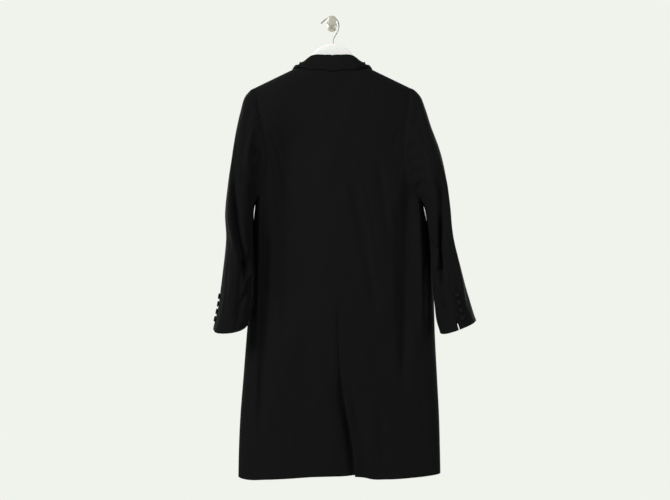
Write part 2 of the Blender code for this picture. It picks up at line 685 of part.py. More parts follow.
def lapels(colour):
    """Turned front edges: the front's own points, moved out past its wall."""
    z = np.linspace(LAPEL["z"][0], LAPEL["z"][-1], LAPEL_ROWS)[:, None]
    width = np.interp(-z, -LAPEL["z"], LAPEL["width"])
    share = np.linspace(0, 1, LAPEL_COLUMNS)[None, :]
    for side, sign in (("left", -1), ("right", 1)):
        x = roll_line(z, sign) + sign * (1.0 + width * share)
        high = z + LAPEL_PEAK * share * ramp(LAPEL["z"][2], LAPEL["z"][0], z)
        grid = skin(x, high, 1)
        puff = LAPEL_PUFF * np.exp(-((share - 0.12) / 0.18)**2)
        grid[..., 1] += LIFT + 0.1 + puff + front_lap(x, high, "right")
        normals = grid_normals(grid)
        if np.mean(normals[..., 1]) < 0:
            normals = -normals
        shell("lapel_" + side, grid + WALL * normals, grid, colour)


def collar(colour):
    """Stand, roll and fall as one folded sheet carried round the neck."""
    rows = np.arange(len(COLLAR["seam_x"]), dtype=float)
    fine = np.linspace(0, rows[-1], COLLAR_COLUMNS)
    read = {name: blend(values, rows, fine) for name, values in COLLAR.items()}
    for name in ("seam_drop", "fall_drop"):
        root = blend(np.sign(COLLAR[name]) * np.sqrt(np.abs(COLLAR[name])), rows, fine)
        read[name] = root * np.abs(root)
    read = {name: np.concatenate([values[:0:-1], values]) for name, values in read.items()}
    sign = np.concatenate([-np.ones(len(fine) - 1), np.ones(len(fine))])
    seam = on_shoulder(HANGER_X + sign * read["seam_x"], read["seam_drop"])
    fall_x = HANGER_X + sign * read["fall_x"]
    fall, lift = on_shoulder(fall_x, read["fall_drop"]), shoulder_normal(fall_x, read["fall_drop"])
    out = unit((seam - np.array([HANGER_X, HANGER_Y, 0.0])) * np.array([1.0, 1.0, 0.0]))
    square = read["square"][:, None]
    up = unit((1 - square) * np.array([0.0, 0.0, 1.0]) + square * lift)
    out = unit(out - np.sum(out * up, axis=1, keepdims=True) * up)
    half_wall = WALL / 2
    root = seam - out * half_wall * (1 - square) + up * (SEAM + 0.3) * (1 - square)
    roll = root - out * read["lean"][:, None] + up * read["rise"][:, None]
    edge = fall + lift * (LIFT + half_wall + FALL_CLEAR)
    bend = half_wall + ROLL_ROUND
    path = np.stack([
        root,
        root * 0.6 + roll * 0.4 - out * 0.6,
        roll - up * ROLL_DROP,
        roll + out * bend + up * 0.4,
        roll + out * 2 * bend - up * ROLL_DROP,
        (roll + out * 2 * bend) * 0.45 + edge * 0.55 + unit(out + lift) * FALL_PUFF,
        edge], axis=1)
    around, along = np.gradient(path, axis=0), np.gradient(path, axis=1)
    normals = unit(np.cross(around, along))
    if np.sum(normals[:, -1] * out) < 0:
        normals = -normals
    shell("collar", path + half_wall * normals, path - half_wall * normals, colour)


def hanger(white, wire):
    """Moulded hanger with a humped middle, and its bent wire hook."""
    x = np.concatenate([-HANGER["x"][:0:-1], HANGER["x"]])
    fine = np.linspace(x[0], x[-1], HANGER_RINGS)
    top = blend(np.concatenate([HANGER["top"][:0:-1], HANGER["top"]]), x, fine)
    low = blend(np.concatenate([HANGER["low"][:0:-1], HANGER["low"]]), x, fine)
    half = blend(np.concatenate([HANGER["half"][:0:-1], HANGER["half"]]), x, fine)
    angle = np.radians(np.array([90, 60, 30, -30, -60, -90, -120, -150, 150, 120]))[None, :]
    cos, sin = np.cos(angle), np.sin(angle)
    mid, tall = ((top + low) / 2)[:, None], ((top - low) / 2)[:, None]
    round_z = np.sign(sin) * np.abs(sin)**0.8
    rings = np.stack([HANGER_X + fine[:, None] + 0 * cos, HANGER_Y + half[:, None] * np.sign(cos)
                      * np.abs(cos)**0.7, mid + tall * round_z], axis=-1)
    lofted("hanger", rings, white)
    t = np.linspace(0, 1, len(HOOK["x"]))
    fine = np.linspace(0, 1, HOOK_RINGS)
    hook_x, hook_z = blend(HOOK["x"], t, fine), blend(HOOK["z"], t, fine)
    path = np.stack([hook_x, np.full_like(hook_x, HANGER_Y), hook_z], axis=-1)
    tube("hanger_hook", path, WIRE, wire)


def wall_knob(metal):
    """Turned knob: a foot on the wall, a stem and a domed head."""
    turned("wall_knob", -KNOB["out"], KNOB["radius"], (0, 0, 0), (0, 1, 0), metal, KNOB_SIDES)


def build():
    """Clear the scene and make every piece."""
    for old in list(bpy.data.objects):
        bpy.data.objects.remove(old, do_unlink=True)
    wool = material("black_wool", (0.008, 0.008, 0.009), 0.9)
    horn = material("black_button", (0.012, 0.012, 0.013), 0.4)
    white = material("white_plastic", (0.86, 0.87, 0.84), 0.35)
    wire = material("steel_wire", (0.55, 0.55, 0.56), 0.3, 1.0)
    metal = material("knob_metal", (0.45, 0.45, 0.46), 0.35, 1.0)
    backs = back_panels(wool)
    fronts = front_panels(wool)
    for side in ("left", "right"):
        loop, square = armhole_loop(backs[side], fronts[side])
        rings, normals = sleeve(side, loop, square, wool)
        cuff_buttons(side, rings, normals, horn)
    lapels(wool)
    front_buttons(horn)
    collar(wool)
    hanger(white, wire)
    wall_knob(metal)


build()
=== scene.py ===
# %% [markdown]
# # A wool coat on its hanger
# A knee-length coat of black melton hangs by its hanger from a knob on the wall, with its
# back to us. Cloth can be made in Blender by simulation, by sculpting or by a formula.
# A tailored coat keeps the shape that its seams give it, so here each panel is a formula:
# a smooth body surface, and on it a table of folds and creases. The same
# formulas made the solids that the frame holds, so the fine cloth lies close to them.

import bmesh
import bpy
import numpy as np
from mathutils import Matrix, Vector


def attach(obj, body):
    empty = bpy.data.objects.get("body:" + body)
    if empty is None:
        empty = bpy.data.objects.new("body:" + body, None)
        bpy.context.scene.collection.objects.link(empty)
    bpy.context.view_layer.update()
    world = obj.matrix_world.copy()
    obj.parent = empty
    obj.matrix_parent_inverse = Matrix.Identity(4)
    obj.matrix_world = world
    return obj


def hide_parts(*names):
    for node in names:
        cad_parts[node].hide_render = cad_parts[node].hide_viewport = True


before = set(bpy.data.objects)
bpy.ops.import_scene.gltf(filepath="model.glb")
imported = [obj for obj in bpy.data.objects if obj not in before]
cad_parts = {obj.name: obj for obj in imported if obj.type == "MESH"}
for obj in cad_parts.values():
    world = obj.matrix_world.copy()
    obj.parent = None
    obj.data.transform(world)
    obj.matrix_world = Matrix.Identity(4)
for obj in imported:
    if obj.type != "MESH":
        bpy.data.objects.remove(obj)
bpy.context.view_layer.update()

# %% [markdown]
# ## Reading smooth curves from short tables
# A pattern cutter marks a few measures down a garment and joins them with a curve. A table
# here holds those measures, one named column each, and `blend` draws the curve: a cubic
# through the rows whose slope at each row is the mean slope around it.

# %% Tables and curves
MM = 0.001


def table(columns, text):
    """Columns of a table by name, from its rows written one to a line."""
    rows = [row.split() for row in text.strip().splitlines()]
    return dict(zip(columns.split(), np.array(rows, dtype=float).T))


def rows_of(columns):
    """The rows of a table, each with its values by name."""
    return [dict(zip(columns, row)) for row in zip(*columns.values())]


def cubic(t, step, start, start_slope, end, end_slope):
    """Hermite cubic between two points, t running from 0 to 1 over a step."""
    return ((2 * t**3 - 3 * t**2 + 1) * start + (t**3 - 2 * t**2 + t) * step * start_slope
            + (3 * t**2 - 2 * t**3) * end + (t**3 - t**2) * step * end_slope)


def blend(values, at, x):
    """Cubic Hermite curve through (at, values), read at x and held flat past the ends."""
    order = np.argsort(at)
    at, values = np.asarray(at)[order], np.asarray(values)[order]
    slopes = np.gradient(values, at)
    x = np.clip(x, at[0], at[-1])
    i = np.clip(np.searchsorted(at, x) - 1, 0, len(at) - 2)
    step = at[i + 1] - at[i]
    return cubic((x - at[i]) / step, step, values[i], slopes[i], values[i + 1], slopes[i + 1])


def ramp(low, high, x):
    """Smooth step 3t^2 - 2t^3 from 0 at low to 1 at high."""
    t = np.clip((x - low) / (high - low), 0.0, 1.0)
    return t * t * (3 - 2 * t)


def unit(vectors):
    """Vectors divided by their length."""
    return vectors / np.maximum(np.linalg.norm(vectors, axis=-1, keepdims=True), 1e-9)


# %% [markdown]
# ## The body of the coat
# Seen from above, a flat-hung coat is a long rounded oblong: a superellipse, which is an
# ellipse with squarer ends. Its width follows the outline and its depth is small. Near the
# shoulder line the section closes over the hanger along a quarter circle.

# %% Body measures in millimetres
HANGER_X = 1.0
HANGER_Y = -62.0       # plane of the hanger and of the shoulder seams
SHOULDER_PEAK = -71.5  # where the two shoulder lines would meet
SHOULDER_FALL = 0.48   # drop for each millimetre outwards
PEAK_ROUND = 3.0
SHOULDER_ROUND = 46.0  # depth below the shoulder line at which the body has full depth
SIDE_SQUARE = 2.8      # exponent of the superellipse
SIDE_SKEW = 4
UNDERARM_Z = -440.0
NECK_HALF = 78.0
NECK_BACK_Z = -118.0

BODY = table("z left right depth skew seam", """
  -60   -200   202 43  0  2.5
 -170   -206   209 44  0    4
 -300   -200   215 46  0  5.5
 -380   -193   219 46  2    7
 -440   -189 223.5 46  6    9
 -500 -194.5   236 46 16 11.5
 -570   -198   246 46 23 13.5
 -690 -204.5   253 46 24 15.5
 -772   -211   255 45 18 16.2
 -880   -219   260 44 12   23
 -970   -226 264.5 44 10   38
-1050 -229.5 266.5 43  8   51
-1125   -231   268 43  8   57""")

ARMHOLE = table("z left right", """
-165 -187.5   190
-217   -179 184.5
-280 -165.5   176
-330   -159 174.5
-375   -160   178
-410   -168   190
-430   -179   206
-440   -189 223.5""")

HEM = table("x z", """
-231   -1120
-222   -1122
-205 -1123.5
-160   -1121
-115   -1118
 -48   -1113
  34   -1111
  58 -1110.5
  78 -1113.5
  97   -1118
 135 -1118.8
 194 -1116.3
 268 -1111.5""")


def body(column, z):
    """Read a column of the BODY table at a height."""
    return blend(BODY[column], BODY["z"], z)


def shoulder_line(x):
    """Height of the shoulders over x: a hyperbola, close to two straight slopes."""
    return SHOULDER_PEAK - SHOULDER_FALL * np.sqrt((x - HANGER_X)**2 + PEAK_ROUND**2)


print("shoulders", round(ARMHOLE["right"][0] - ARMHOLE["left"][0]), "mm wide at the seams")

# %% [markdown]
# ## Folds and creases
# Cloth that hangs from two shoulders drops in long soft pipes, and where it is strained or
# pressed it creases. A fold is a line with a bell across it. A crease is thinner, and has a
# raised lip on both sides, because the wool that is pushed out of the valley has to go
# somewhere. The lines bow a little, since no real one is straight.

# %% Fold tables: facing is -1 on the back and 1 on the front
FOLDS = table("facing x_top z_top x_low z_low left right sink", """
-1 -157 -430 -178 -1060 10 10   13
-1 -106 -190 -100  -800 54 60   31
-1 -110 -200 -106  -700 18 40    4
-1 -178 -360 -184  -800 12 11  -22
-1  187 -340  172  -930 14 14   13
-1  217 -360  223  -800 14 11  -24
-1  160 -430  167  -720 10 10  3.5
-1   41 -360  116  -740 12 12  4.5
-1  110 -330  140  -540 11 11    4
-1  -60 -700  -72 -1090 26 26    3
-1   86 -900  104 -1110 14 14 -2.6
-1  112 -900  124 -1112 14 14  2.4
 1 -128 -470 -150 -1060 20 20    6
 1  140 -470  168 -1040 20 20    6
 1   70 -640   84 -1080 22 22 -3.5""")

CREASES = table("facing x_top z_top x_low z_low bow width sink", """
-1 -168 -246 -118  -372  7  8 1.8
-1 -160 -300 -128  -452  6  7 1.4
-1 -150 -352 -112  -520 -5  9 1.2
-1 -176 -420 -150  -610 -4  6 1.8
-1 -142 -640 -158  -880  5  9 1.4
-1 -186 -700 -196 -1020 -3  8 1.6
-1 -100 -560 -118  -860 -6 13 0.9
-1  -30 -180  -46  -330  5 12 0.8
-1   22 -160   36  -300 -4 11 0.7
-1   52 -380   92  -640  8  6 1.2
-1   66 -340  112  -600  6  5 0.8
-1  112 -352  134  -480  3  5 1.1
-1  172 -250  148  -330 -4  7 1.1
-1  170 -330  150  -420  4  6 1.3
-1  196 -470  176  -660  6  5 2.2
-1  214 -520  206  -800 -4  6 1.8
-1  150 -520  158  -800  4  7   1
-1  172 -700  182  -960 -3  9 1.2
-1  214 -860  222 -1090  3 10 1.2
-1   44 -860   66 -1000 -4  6 1.4
-1  118 -940  128 -1112  3 10 1.6
-1  -20 -900  -34 -1110 -4 14 1.2
-1 -110 -930 -122 -1112  4 12 1.1
 1 -150 -250 -108  -380 -6  8 1.5
 1  158 -260  120  -400  6  8 1.6
 1 -134 -330  -96  -470  4  7 1.1
 1  150 -400  118  -560 -4  7 1.2
 1   40 -420   92  -520  6  6   1
 1  -30 -430  -88  -560 -6  7   1
 1   36 -540   84  -610  5  6 0.8
 1  -96 -640 -118  -980 -5 11 1.4
 1  112 -700  124 -1060  4 12 1.5
 1  -44 -800  -52 -1100  3 13 1.2
 1  186 -520  200  -900 -4  8 1.6
 1 -168 -560 -186  -960  4  8 1.5""")


def line_at(row, z, facing):
    """Place along a row's line, x of the line there, and the sink on the row's own facing."""
    along = (row["z_top"] - z) / (row["z_top"] - row["z_low"])
    line = row["x_top"] + (row["x_low"] - row["x_top"]) * along
    return along, line, np.where(facing == row["facing"], row["sink"], 0.0)


def fold_sink(x, z, facing):
    """Sum of bells sink * exp(-(d / width)^2), d being the sideways distance from the line."""
    total = np.zeros_like(x * z)
    for row in rows_of(FOLDS):
        along, line, here = line_at(row, z, facing)
        ends = ramp(0, 0.25, along) * ramp(1, 0.75, along)
        wide = np.where(x < line, row["left"], row["right"])
        total += here * ends * np.exp(-((x - line) / wide)**2)
    return total


def lipped(q):
    """A valley with raised lips: (1 - 0.7 q^2) exp(-q^2)."""
    return (1 - 0.7 * q * q) * np.exp(-q * q)


def crease_sink(x, z, facing):
    """Sum of lipped valleys along bowed lines that fade at both ends."""
    total = np.zeros_like(x * z)
    for row in rows_of(CREASES):
        along, line, here = line_at(row, z, facing)
        line = line + 4 * row["bow"] * along * (1 - along)
        ends = ramp(0, 0.35, along) * ramp(1, 0.6, along)
        total += here * ends * lipped((x - line) / row["width"])
    return total


WAVES = table("length_x length_z phase height", """
141  310 0.4 0.50
 97 -233 2.1 0.40
-63  179   4 0.28
 41  127 1.3 0.16
-29  -71 5.2 0.10""")


def unevenness(x, z):
    """Slow hills and hollows of a worn cloth: a few sine waves of different slant."""
    total = np.zeros_like(x * z)
    for row in rows_of(WAVES):
        turn = 2 * np.pi * (x / row["length_x"] + z / row["length_z"])
        total += row["height"] * np.sin(turn + row["phase"])
    return total


def skin_y(x, z, facing):
    """Outer surface: middle plane, skewed sides, and facing * depth * fullness * arch."""
    left, right = body("left", z), body("right", z)
    across = np.clip(np.abs(x - (left + right) / 2) / ((right - left) / 2), 0, 1)
    fullness = (1 - across**SIDE_SQUARE)**(1 / SIDE_SQUARE)
    drop = np.clip((shoulder_line(x) - z) / SHOULDER_ROUND, 0, 1)
    arch = np.sqrt(1 - (1 - drop)**2)
    sink = fold_sink(x, z, facing) + crease_sink(x, z, facing) + unevenness(x, z)
    depth = (body("depth", z) - sink) * fullness * arch
    return HANGER_Y + body("skew", z) * across**SIDE_SKEW + facing * depth


def skin(x, z, facing):
    """Points of the outer surface, as an array of x, y and z."""
    x, z = np.broadcast_arrays(x, z)
    return np.stack([x, skin_y(x, z, facing), z], axis=-1)


print("folds:", len(FOLDS["facing"]), "creases:", len(CREASES["facing"]))

# %% [markdown]
# ## Materials
# Melton is a wool that is milled until its weave is hidden under a felted nap, then cropped.
# The eye sees no thread: it sees a matt black that swallows light, a faint bloom at grazing
# angles where fibre tips catch the lamp, and a fine tooth. So the shader is rough, with a
# little sheen, and a bump of short fibres that lie down the length of each piece.

# %% Colours and nodes
def linear(code):
    """Linear colour of an sRGB hex code."""
    srgb = np.array([int(code[i:i + 2], 16) for i in (1, 3, 5)]) / 255
    low = srgb <= 0.04045
    return (*np.where(low, srgb / 12.92, ((srgb + 0.055) / 1.055)**2.4).tolist(), 1.0)


def add(tree, kind, settings=None, links=None):
    """Add a node of a kind, set its properties or inputs by name and link its inputs."""
    made = tree.nodes.new("ShaderNode" + kind)
    for name, value in (settings or {}).items():
        if isinstance(name, int) or name in made.inputs:
            made.inputs[name].default_value = value
        else:
            setattr(made, name, value)
    for name, source in (links or {}).items():
        tree.links.new(source, made.inputs[name])
    return made


def in_scene(name, data):
    """New object of this data, linked to the scene."""
    made = bpy.data.objects.new(name, data)
    bpy.context.scene.collection.objects.link(made)
    return made


def finish(name, colour, roughness, **more):
    """New material with its Principled shader set; more holds further sockets by name."""
    made = bpy.data.materials.new(name)
    made.use_nodes = True
    shader = made.node_tree.nodes["Principled BSDF"]
    shader.inputs["Base Color"].default_value = linear(colour)
    shader.inputs["Roughness"].default_value = roughness
    for socket, value in more.items():
        shader.inputs[socket.replace("_", " ")].default_value = value
    return made, made.node_tree, shader


def grained(name, colour, roughness, scale, detail, strength, depth, **more):
    """Material with a fine bump, from noise on the object's own coordinates."""
    made, tree, shader = finish(name, colour, roughness, **more)
    place = add(tree, "TexCoord").outputs["Object"]
    noise = add(tree, "TexNoise", {"Scale": scale, "Detail": detail}, {"Vector": place}).outputs["Fac"]
    bump = add(tree, "Bump", {"Strength": strength, "Distance": depth}, {"Height": noise})
    tree.links.new(bump.outputs["Normal"], shader.inputs["Normal"])
    return made


def ramp_node(tree, source, stops):
    """Colour ramp of (place, hex) stops read from a socket."""
    made = add(tree, "ValToRGB", links={"Fac": source})
    for i, (place, code) in enumerate(stops):
        element = made.color_ramp.elements[i] if i < 2 else made.color_ramp.elements.new(place)
        element.position = place
        element.color = linear(code)
    return made.outputs["Color"]


# %% [markdown]
# The nap's fibres are about 20 microns thick, far too fine for a picture of a whole coat.
# They are drawn as tufts 1.3 mm apart, which is as fine as shows, and three times as long
# as wide. Each piece has a UV map in metres, so that the tufts follow its own length.

# %% Melton
TUFT = 1.3 * MM        # spacing of the drawn tufts
FIBRE = 0.5 * MM       # finer tooth between them
CLOUD = 45 * MM        # size of the lighter and darker patches
NAP_LENGTH = 3.0       # how many times longer a tuft is than wide


def melton(name, shades, sheen):
    """Felted black wool: cloudy colour, tufts along the length, a fine tooth and a bloom."""
    made, tree, shader = finish(name, shades[0], 0.9, Sheen_Weight=sheen, Sheen_Roughness=0.5,
                                Sheen_Tint=linear("#b9b9b6"), Specular_IOR_Level=0.05)
    place = add(tree, "UVMap", {"uv_map": "cloth"}).outputs["UV"]
    nap = add(tree, "Mapping", {"Scale": (1, 1 / NAP_LENGTH, 1)}, {"Vector": place}).outputs["Vector"]
    tufts = add(tree, "TexNoise", {"Scale": 1 / TUFT, "Detail": 3.0}, {"Vector": nap}).outputs["Fac"]
    tooth = add(tree, "TexNoise", {"Scale": 1 / FIBRE, "Detail": 2.0}, {"Vector": place}).outputs["Fac"]
    cloud = add(tree, "TexNoise", {"Scale": 1 / CLOUD, "Detail": 4.0}, {"Vector": place}).outputs["Fac"]
    mixed = add(tree, "Math", {"operation": "MULTIPLY_ADD", 1: 1.6}, {0: tufts, 2: cloud}).outputs[0]
    colour = ramp_node(tree, mixed, ((0.8, shades[0]), (1.8, shades[1])))
    tree.links.new(colour, shader.inputs["Base Color"])
    fine = add(tree, "Bump", {"Strength": 0.35, "Distance": 0.25 * MM}, {"Height": tooth}).outputs["Normal"]
    rough = add(tree, "Bump", {"Strength": 0.5, "Distance": 0.5 * MM}, {"Height": tufts, "Normal": fine})
    tree.links.new(rough.outputs["Normal"], shader.inputs["Normal"])
    return made


wool = melton("black_melton", ("#0d0d0e", "#131314"), 0.007)
print("wool:", wool.name)

# %% [markdown]
# ## From a grid to a wall of cloth
# A grid of points has a normal at each point: the cross product of the steps along and
# across it. Moving every point inwards by the cloth's thickness gives the inner face. Thick
# wool has round edges, so towards each edge both faces close on the middle of the wall along
# a quarter circle.

# %% Mesh helpers
WALL = 2.4             # thickness of the cloth
EDGE_LEFT = 0.14       # share of the thickness that is left at a free edge
SEAM_LOSS = 0.16       # share that the soft groove of a sewn edge takes
SEAM_REACH = 1.4       # how far that groove reaches from the seam


def grid_normals(grid):
    """Unit cross products of the differences along and across a grid."""
    return unit(np.cross(np.gradient(grid, axis=0), np.gradient(grid, axis=1)))


def lengths(grid, axis):
    """Distance run along an axis of a grid, from its first point."""
    steps = np.linalg.norm(np.diff(grid, axis=axis), axis=-1)
    return np.cumsum(np.insert(steps, 0, 0.0, axis=axis), axis=axis)


def quads(index):
    """Four-cornered faces between the rows and columns of a grid of point numbers."""
    corners = (index[:-1, :-1], index[:-1, 1:], index[1:, 1:], index[1:, :-1])
    return np.stack([c.ravel() for c in corners], axis=1)


def mesh_piece(name, points, faces, material, uv=None):
    """Object from points in millimetres and quads, turned so that its volume is positive."""
    points, faces = np.asarray(points, float) * MM, np.asarray(faces)
    a, b, c, d = (points[faces[:, i]] for i in range(4))
    volume = np.sum(np.cross(a, b) * c) + np.sum(np.cross(a, c) * d)
    if volume < 0:
        faces = faces[:, ::-1]
    mesh = bpy.data.meshes.new(name)
    mesh.vertices.add(len(points))
    mesh.vertices.foreach_set("co", points.ravel())
    mesh.loops.add(faces.size)
    mesh.loops.foreach_set("vertex_index", faces.ravel())
    mesh.polygons.add(len(faces))
    mesh.polygons.foreach_set("loop_start", np.arange(0, faces.size, 4))
    if uv is not None:
        layer = mesh.uv_layers.new(name="cloth")
        layer.data.foreach_set("uv", (uv * MM)[faces.ravel()].ravel())
    mesh.update(calc_edges=True)
    mesh.validate()
    mesh.shade_smooth()
    mesh.materials.append(material)
    return in_scene(name, mesh)


def stand_for(piece, slot, *nodes):
    """Let a piece ride on the coat's one body and hide the solids that it replaces; slot is not used."""
    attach(piece, "root")
    if nodes:
        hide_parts(*nodes)
    dict.fromkeys(nodes, piece)
    return piece


def edge_loss(distance, free, thickness):
    """Share of the thickness lost near an edge: an ellipse's arc, deep if free, slight if sewn."""
    reach = SEAM_REACH + (thickness / 2 - SEAM_REACH) * free
    near = np.clip(distance / reach, 0, 1)
    return (SEAM_LOSS + (1 - EDGE_LEFT - SEAM_LOSS) * free) * (1 - np.sqrt(1 - (1 - near)**2))


def shell(name, outer, normals, material, thickness=WALL, top=0, low=1, first=1, last=0):
    """Closed wall inwards from a grid. Each edge is free (1) or sewn (0), also point by point."""
    rows, cols = outer.shape[:2]
    across, along = lengths(outer, 1), lengths(outer, 0)
    lost = [edge_loss(along, top, thickness), edge_loss(along[-1:] - along, low, thickness),
            edge_loss(across, first, thickness), edge_loss(across[:, -1:] - across, last, thickness)]
    part = 1 - np.maximum.reduce(lost)[..., None]
    middle = outer - normals * thickness / 2
    faces_apart = normals * part * thickness / 2
    index = np.arange(rows * cols).reshape(rows, cols)
    rim = np.concatenate([index[0, :-1], index[:-1, -1], index[-1, :0:-1], index[:0:-1, 0]])
    after, shift = np.roll(rim, -1), rows * cols
    faces = np.concatenate([quads(index), quads(index)[:, ::-1] + shift,
                            np.stack([after, rim, rim + shift, after + shift], axis=1)])
    points = np.concatenate([middle + faces_apart, middle - faces_apart]).reshape(-1, 3)
    uv = np.stack([across - across.mean(), along], axis=-1).reshape(-1, 2)
    return mesh_piece(name, points, faces, material, np.concatenate([uv, uv]))


# %% [markdown]
# ## Columns and rows of a panel
# A panel's rows run across it and its columns run down. The grid is even in the middle and
# crowded at its edges, where the cloth turns round its own thickness, and where the body
# turns round its side. Above the underarm a column ends on the armhole, below it on the side
# seam.

# %% Panel grid
TOP_ROWS = 88          # shoulder to underarm
LOW_ROWS = 150         # underarm to hem
SETTLE_STEPS = 40
TOP_STEPS = (1 - np.cos(np.pi * np.arange(TOP_ROWS + 1) / TOP_ROWS)) / 2


def crowded(middle, start, end, few=9, power=2.5):
    """Places from 0 to 1: even steps, and at both ends steps that shrink with a power."""
    near = (np.arange(few) / few)**power
    return np.concatenate([start * near, np.linspace(start, 1 - end, middle), 1 - end * near[::-1]])


LOW_STEPS = crowded(LOW_ROWS, 0.012, 0.004, 6)[:-1]
PANEL_COLUMNS = crowded(96, 0.02, 0.035)
print("panel grid:", len(TOP_STEPS) + len(LOW_STEPS), "rows by", len(PANEL_COLUMNS), "columns")


def panel_grid(columns, inner_edge, side, top, low):
    """Places (x, z): x runs evenly between the edges at its own height z, by repetition."""
    share = np.asarray(columns)[None, :]
    steps = np.concatenate([TOP_STEPS, 1 + LOW_STEPS])[:, None]
    z = np.full((steps.shape[0], share.shape[1]), UNDERARM_Z)
    for _ in range(SETTLE_STEPS):
        outer_edge = np.where(z > UNDERARM_Z, blend(ARMHOLE[side], ARMHOLE["z"], z), body(side, z))
        x = inner_edge(z) + (outer_edge - inner_edge(z)) * share
        upper = top(x) + (UNDERARM_Z - top(x)) * np.minimum(steps, 1)
        z = np.where(steps <= 1, upper, UNDERARM_Z + (low(x) - UNDERARM_Z) * (steps - 1))
    return x, z


def seam_square(grid, facing, seam_x, shoulder_from):
    """Outward normals, with the part across a seam taken out where two panels meet."""
    normals = grid_normals(grid)
    if np.mean(normals[..., 1]) * facing < 0:
        normals = -normals
    normals[TOP_ROWS:, -1, 1] = 0.0
    shoulder = np.abs(grid[0, :, 0] - HANGER_X) >= shoulder_from - 0.5
    normals[0, shoulder, 1] = 0.0
    if seam_x:
        normals[:, 0, 0] = 0.0
    return unit(normals)


# %% [markdown]
# ## The two back panels and the vent
# A straight centre seam joins the two halves of the back down to the vent. There the right
# half passes over the left, whose edge runs on behind it as an underlap. Below the seam's end
# the edges fall apart a little: the left one sinks, the right one stands proud, and between
# them a wedge of shadow opens.

# %% Back panels
VENT_TOP = -824.0
VENT_LAP = 46.0
LAP_NARROW = 7.5       # width of the underlap above the vent
VENT_TUCK = 3.4
VENT_GAPE = 130.0
LEFT_LIFT = 10.0
LEFT_LIFT_WIDTH = 26.0
RIGHT_LIFT = 8.0
RIGHT_LIFT_WIDTH = 18.0
LAP_COLUMNS = 22


def back_top(x):
    """Shoulder line, cut out at the neck by the lower half of an ellipse."""
    inside = np.clip(np.abs(x - HANGER_X) / NECK_HALF, 0, 1)
    rise = shoulder_line(HANGER_X + NECK_HALF) - NECK_BACK_Z
    return np.where(inside < 1, NECK_BACK_Z + rise * (1 - np.sqrt(1 - inside**2)), shoulder_line(x))


def hem_line(x):
    """Lower edge of the back."""
    return blend(HEM["z"], HEM["x"], x)


def back_grid(side):
    """Grid of one back panel, with the underlap on the left one."""
    def inner_edge(z):
        narrow = LAP_NARROW * (1 - ramp(VENT_TOP + 60, VENT_TOP, z))
        return body("seam", z) - (narrow if side == "left" else 0.0)
    x, z = panel_grid(PANEL_COLUMNS, inner_edge, side, back_top, hem_line)
    if side == "left":
        width = LAP_NARROW + (VENT_LAP - LAP_NARROW) * ramp(VENT_TOP + 5, VENT_TOP - 55, z[:, :1])
        share = 1 - crowded(LAP_COLUMNS, 0.02, 0.02, 4)[:-1]
        x = np.concatenate([x[:, :1] + share * width, x], axis=1)
        z = np.concatenate([np.repeat(z[:, :1], len(share), axis=1), z], axis=1)
    grid = skin(x, z, -1)
    gape = ramp(VENT_TOP, VENT_TOP - VENT_GAPE, z)
    from_edge = np.abs(x - body("seam", z))
    if side == "left":
        past = ramp(-16, 0, x - body("seam", z)) * ramp(VENT_TOP + 150, VENT_TOP + 80, z)
        grid[..., 1] += VENT_TUCK * past + LEFT_LIFT * gape * np.exp(-(from_edge / LEFT_LIFT_WIDTH)**2)
    else:
        grid[..., 1] -= RIGHT_LIFT * gape * np.exp(-(from_edge / RIGHT_LIFT_WIDTH)**2)
    return grid


backs = {}
for side in ("left", "right"):
    grid = back_grid(side)
    backs[side] = grid, seam_square(grid, -1, True, NECK_HALF)
    below_vent = ramp(VENT_TOP + 10, VENT_TOP - 10, grid[:, :1, 2])
    stand_for(shell("back_" + side, *backs[side], wool, first=below_vent), "wool", "back_" + side)
    print("back", side, "grid", grid.shape[:2])

# %% [markdown]
# ## The two fronts
# The hidden side of the coat faces the wall. Its fronts cross over by a few centimetres
# below the break, right over left, and turn back above it as lapels. The edge of each front
# above the break is the roll line, a slightly bowed line up to the neck.

# %% Fronts
BREAK_Z = -372.0
FRONT_SHIFT = 6.0
ROLL_CURVE = 0.9
FRONT_LAP = 38.0
FRONT_HEM = -1112.0
LIFT = 0.5
OVERLAP = WALL + LIFT + 0.6


def roll_line(z, sign):
    """From the break to the neck, along a power curve."""
    top = shoulder_line(HANGER_X + sign * NECK_HALF)
    share = np.clip((z - BREAK_Z) / (top - BREAK_Z), 0, 1)
    return HANGER_X + FRONT_SHIFT + sign * (NECK_HALF - sign * FRONT_SHIFT) * share**ROLL_CURVE


def front_lap(x, z, side):
    """How far a front leaves the body's surface to pass over or under the other."""
    near = ramp(75, 48, np.abs(x - roll_line(z, -1 if side == "left" else 1)))
    off = near * ramp(BREAK_Z + 120, BREAK_Z + 60, z) * OVERLAP / 2
    return off if side == "right" else -off


def front_grid(side, sign):
    """Grid of one front, from its edge or roll line to the side."""
    def inner_edge(z):
        return roll_line(z, sign) - sign * FRONT_LAP * ramp(BREAK_Z + 45, BREAK_Z - 30, z)
    x, z = panel_grid(PANEL_COLUMNS, inner_edge, side, shoulder_line, lambda x: np.full_like(x, FRONT_HEM))
    grid = skin(x, z, 1)
    grid[..., 1] += front_lap(x, z, side)
    return grid


fronts = {}
for side, sign in (("left", -1), ("right", 1)):
    grid = front_grid(side, sign)
    fronts[side] = grid, seam_square(grid, 1, False, NECK_HALF)
    stand_for(shell("front_" + side, *fronts[side], wool), "wool", "front_" + side)
    print("front", side, "grid", grid.shape[:2])

# %% [markdown]
# ## Sleeves
# A tailored sleeve is a bent tube of two pieces, top and under, joined by a front and a back
# seam. It starts on the armhole and leaves it as an oval. Each ring is a superellipse between
# an inner and an outer edge read from a table; what the armhole differs from the first ring
# is added to it and fades out down the arm. Folds are bells across slanting lines on the tube.

